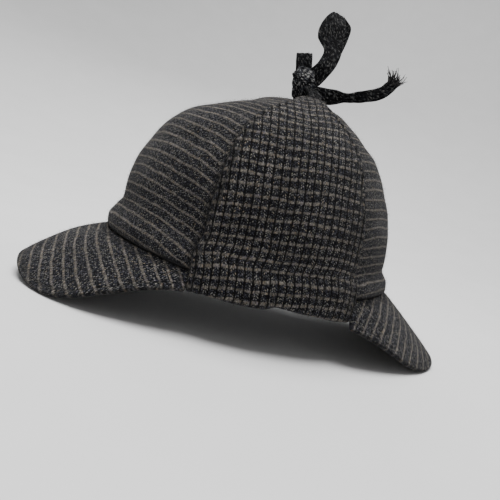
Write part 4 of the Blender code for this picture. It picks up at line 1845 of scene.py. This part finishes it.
@dataclass
class Studio:
    """A round sweep of pale paper under soft light from above.

    Attributes:
        flat_radius: how far the floor is level.
        sweep: the radius of the curve from the floor up into the wall.
        wall: how high the wall goes on above that.
        air: how strong the light is that comes from all round.
        lamps: the main softbox, a weak one behind the hat, and one for the wall.
    """

    flat_radius: float = 0.5
    sweep: float = 2.2
    wall: float = 0.4
    air: float = 0.46
    lamps: tuple[Lamp, ...] = (
        Lamp("softbox_above", (0.10, -0.10, 1.5), 1.1, 51.0),
        Lamp("softbox_far_side", (-1.1, -0.1, 1.2), 1.0, 8.0),
        Lamp("backdrop_wash", (-0.9, 0.5, 1.9), 0.8, 16.0, (-2.5, 0.7, 0.9)),
    )

    def paper(self, material: bpy.types.Material) -> None:
        """Build the floor, which sweeps up all round into a wall.

        Args:
            material: what it is made of.
        """
        turn = np.linspace(0.0, math.pi / 2.0, 33)
        swept = self.flat_radius + self.sweep * np.sin(turn)
        radius = np.concatenate([[0.0, 0.2, 0.4], swept])
        height = np.concatenate([[0.0, 0.0, 0.0], self.sweep * (1.0 - np.cos(turn))])
        radius = np.append(radius, radius[-1])
        height = np.append(height, height[-1] + self.wall)
        around = np.linspace(0.0, 2.0 * math.pi, 97)[:-1]
        x, y = radius[:, None] * np.cos(around), radius[:, None] * np.sin(around)
        points = np.stack(np.broadcast_arrays(x, y, height[:, None]), -1).reshape(-1, 3)
        floor = new_mesh("studio_paper", points, ring_faces(*x.shape), points[:, :2])
        floor.data.materials.append(material)

    def build(self, finishes: Finishes) -> None:
        """Build the studio.

        Args:
            finishes: the scene's materials.
        """
        self.paper(finishes.paper)
        world = bpy.data.worlds.new("studio_air")
        world.use_nodes = True
        background = world.node_tree.nodes["Background"]
        background.inputs["Color"].default_value = (1.0, 1.0, 1.0, 1.0)
        background.inputs["Strength"].default_value = self.air
        bpy.context.scene.world = world
        for lamp in self.lamps:
            lamp.hang()


@dataclass
class CameraRig:
    """The camera, close to the hat and just above the surface that it stands on.

    Attributes:
        stand: where the hat stands.
        distance: how far it is from what it looks at.
        yaw: how far it is turned to the hat's front, in degrees.
        elevation: how far up it is, in degrees.
        roll: how far it leans, in degrees.
        aim: the point in the hat's own frame that it looks at.
        lens_mm: its focal length.
        sensor_mm: how wide its sensor is.
    """

    stand: Stand
    distance: float = 0.377
    yaw: float = 10.0
    elevation: float = 7.8
    roll: float = 14.5
    aim: Numbers = (0.0, -0.0002, 0.0025)
    lens_mm: float = 36.0
    sensor_mm: float = 36.0

    def build(self) -> None:
        """Place the camera."""
        yaw, lift, roll = (math.radians(a) for a in (self.yaw, self.elevation, self.roll))
        level = math.cos(lift)
        back = np.array([math.cos(yaw) * level, -math.sin(yaw) * level, math.sin(lift)])
        right = unit(np.cross([0.0, 0.0, 1.0], back))
        above = np.cross(back, right)
        rolled = math.cos(roll) * right + math.sin(roll) * above
        raised = -math.sin(roll) * right + math.cos(roll) * above
        axes = self.stand.turn(np.array([rolled, raised, back]))
        place = self.stand.place(np.array(self.aim) + back * self.distance)
        data = bpy.data.cameras.new("photo_camera")
        data.lens, data.sensor_width, data.clip_start = self.lens_mm, self.sensor_mm, 0.01
        camera = bpy.data.objects.new("photo_camera", data)
        matrix = Matrix(axes.T.tolist()).to_4x4()
        matrix.translation = place.tolist()
        camera.matrix_world = matrix
        bpy.context.scene.collection.objects.link(camera)
        bpy.context.scene.camera = camera


def main() -> None:
    """Build the hat and its studio, piece by piece."""
    logging.basicConfig(level=logging.INFO, format="%(message)s")
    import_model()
    stand = Stand()
    form = CrownForm()
    finishes = Finishes.make()
    CameraRig(stand).build()
    flaps = EarFlaps(form, stand)
    panels = Crown(form, stand, flaps).build(finishes)
    HeadBand(form, stand).build(finishes)
    folded = flaps.build(finishes)
    clear = math.degrees(PEAK_GAP / form.half_width)
    front = Peak(
        "front_peak",
        form,
        stand,
        backward=False,
        reach=0.1598,
        half_width=0.0796,
        shoulder=0.0446,
        drop=0.0434,
        bulge=0.0044,
        half_angle=66.0,
        squareness=2.11,
        edge=(0.813, 1.000, 0.851, 0.439),
        crown_angle=flaps.front_angle - clear,
    )
    rear = Peak(
        "rear_peak",
        form,
        stand,
        backward=True,
        reach=0.1626,
        half_width=0.0762,
        shoulder=0.0460,
        drop=0.0488,
        bulge=0.0013,
        half_angle=60.0,
        squareness=2.0,
        edge=(0.934, 1.000, 0.740, 0.415),
        crown_angle=180.0 - flaps.rear_angle - clear,
        end_tuck=3.3,
    )
    peaks = [peak.build(finishes) for peak in (front, rear)]
    blooms = {"crown": panels, "flaps": folded, "peaks": peaks}
    for seed, (name, cloths) in enumerate(blooms.items()):
        piece = WoolBloom(seed=seed).mesh(f"wool_fibres_{name}", cloths, stand)
        finish_piece(piece, [finishes.wool])
    TieBow(form, flaps, stand).build(finishes)
    Studio().build(finishes)


if __name__ == "__main__":
    main()
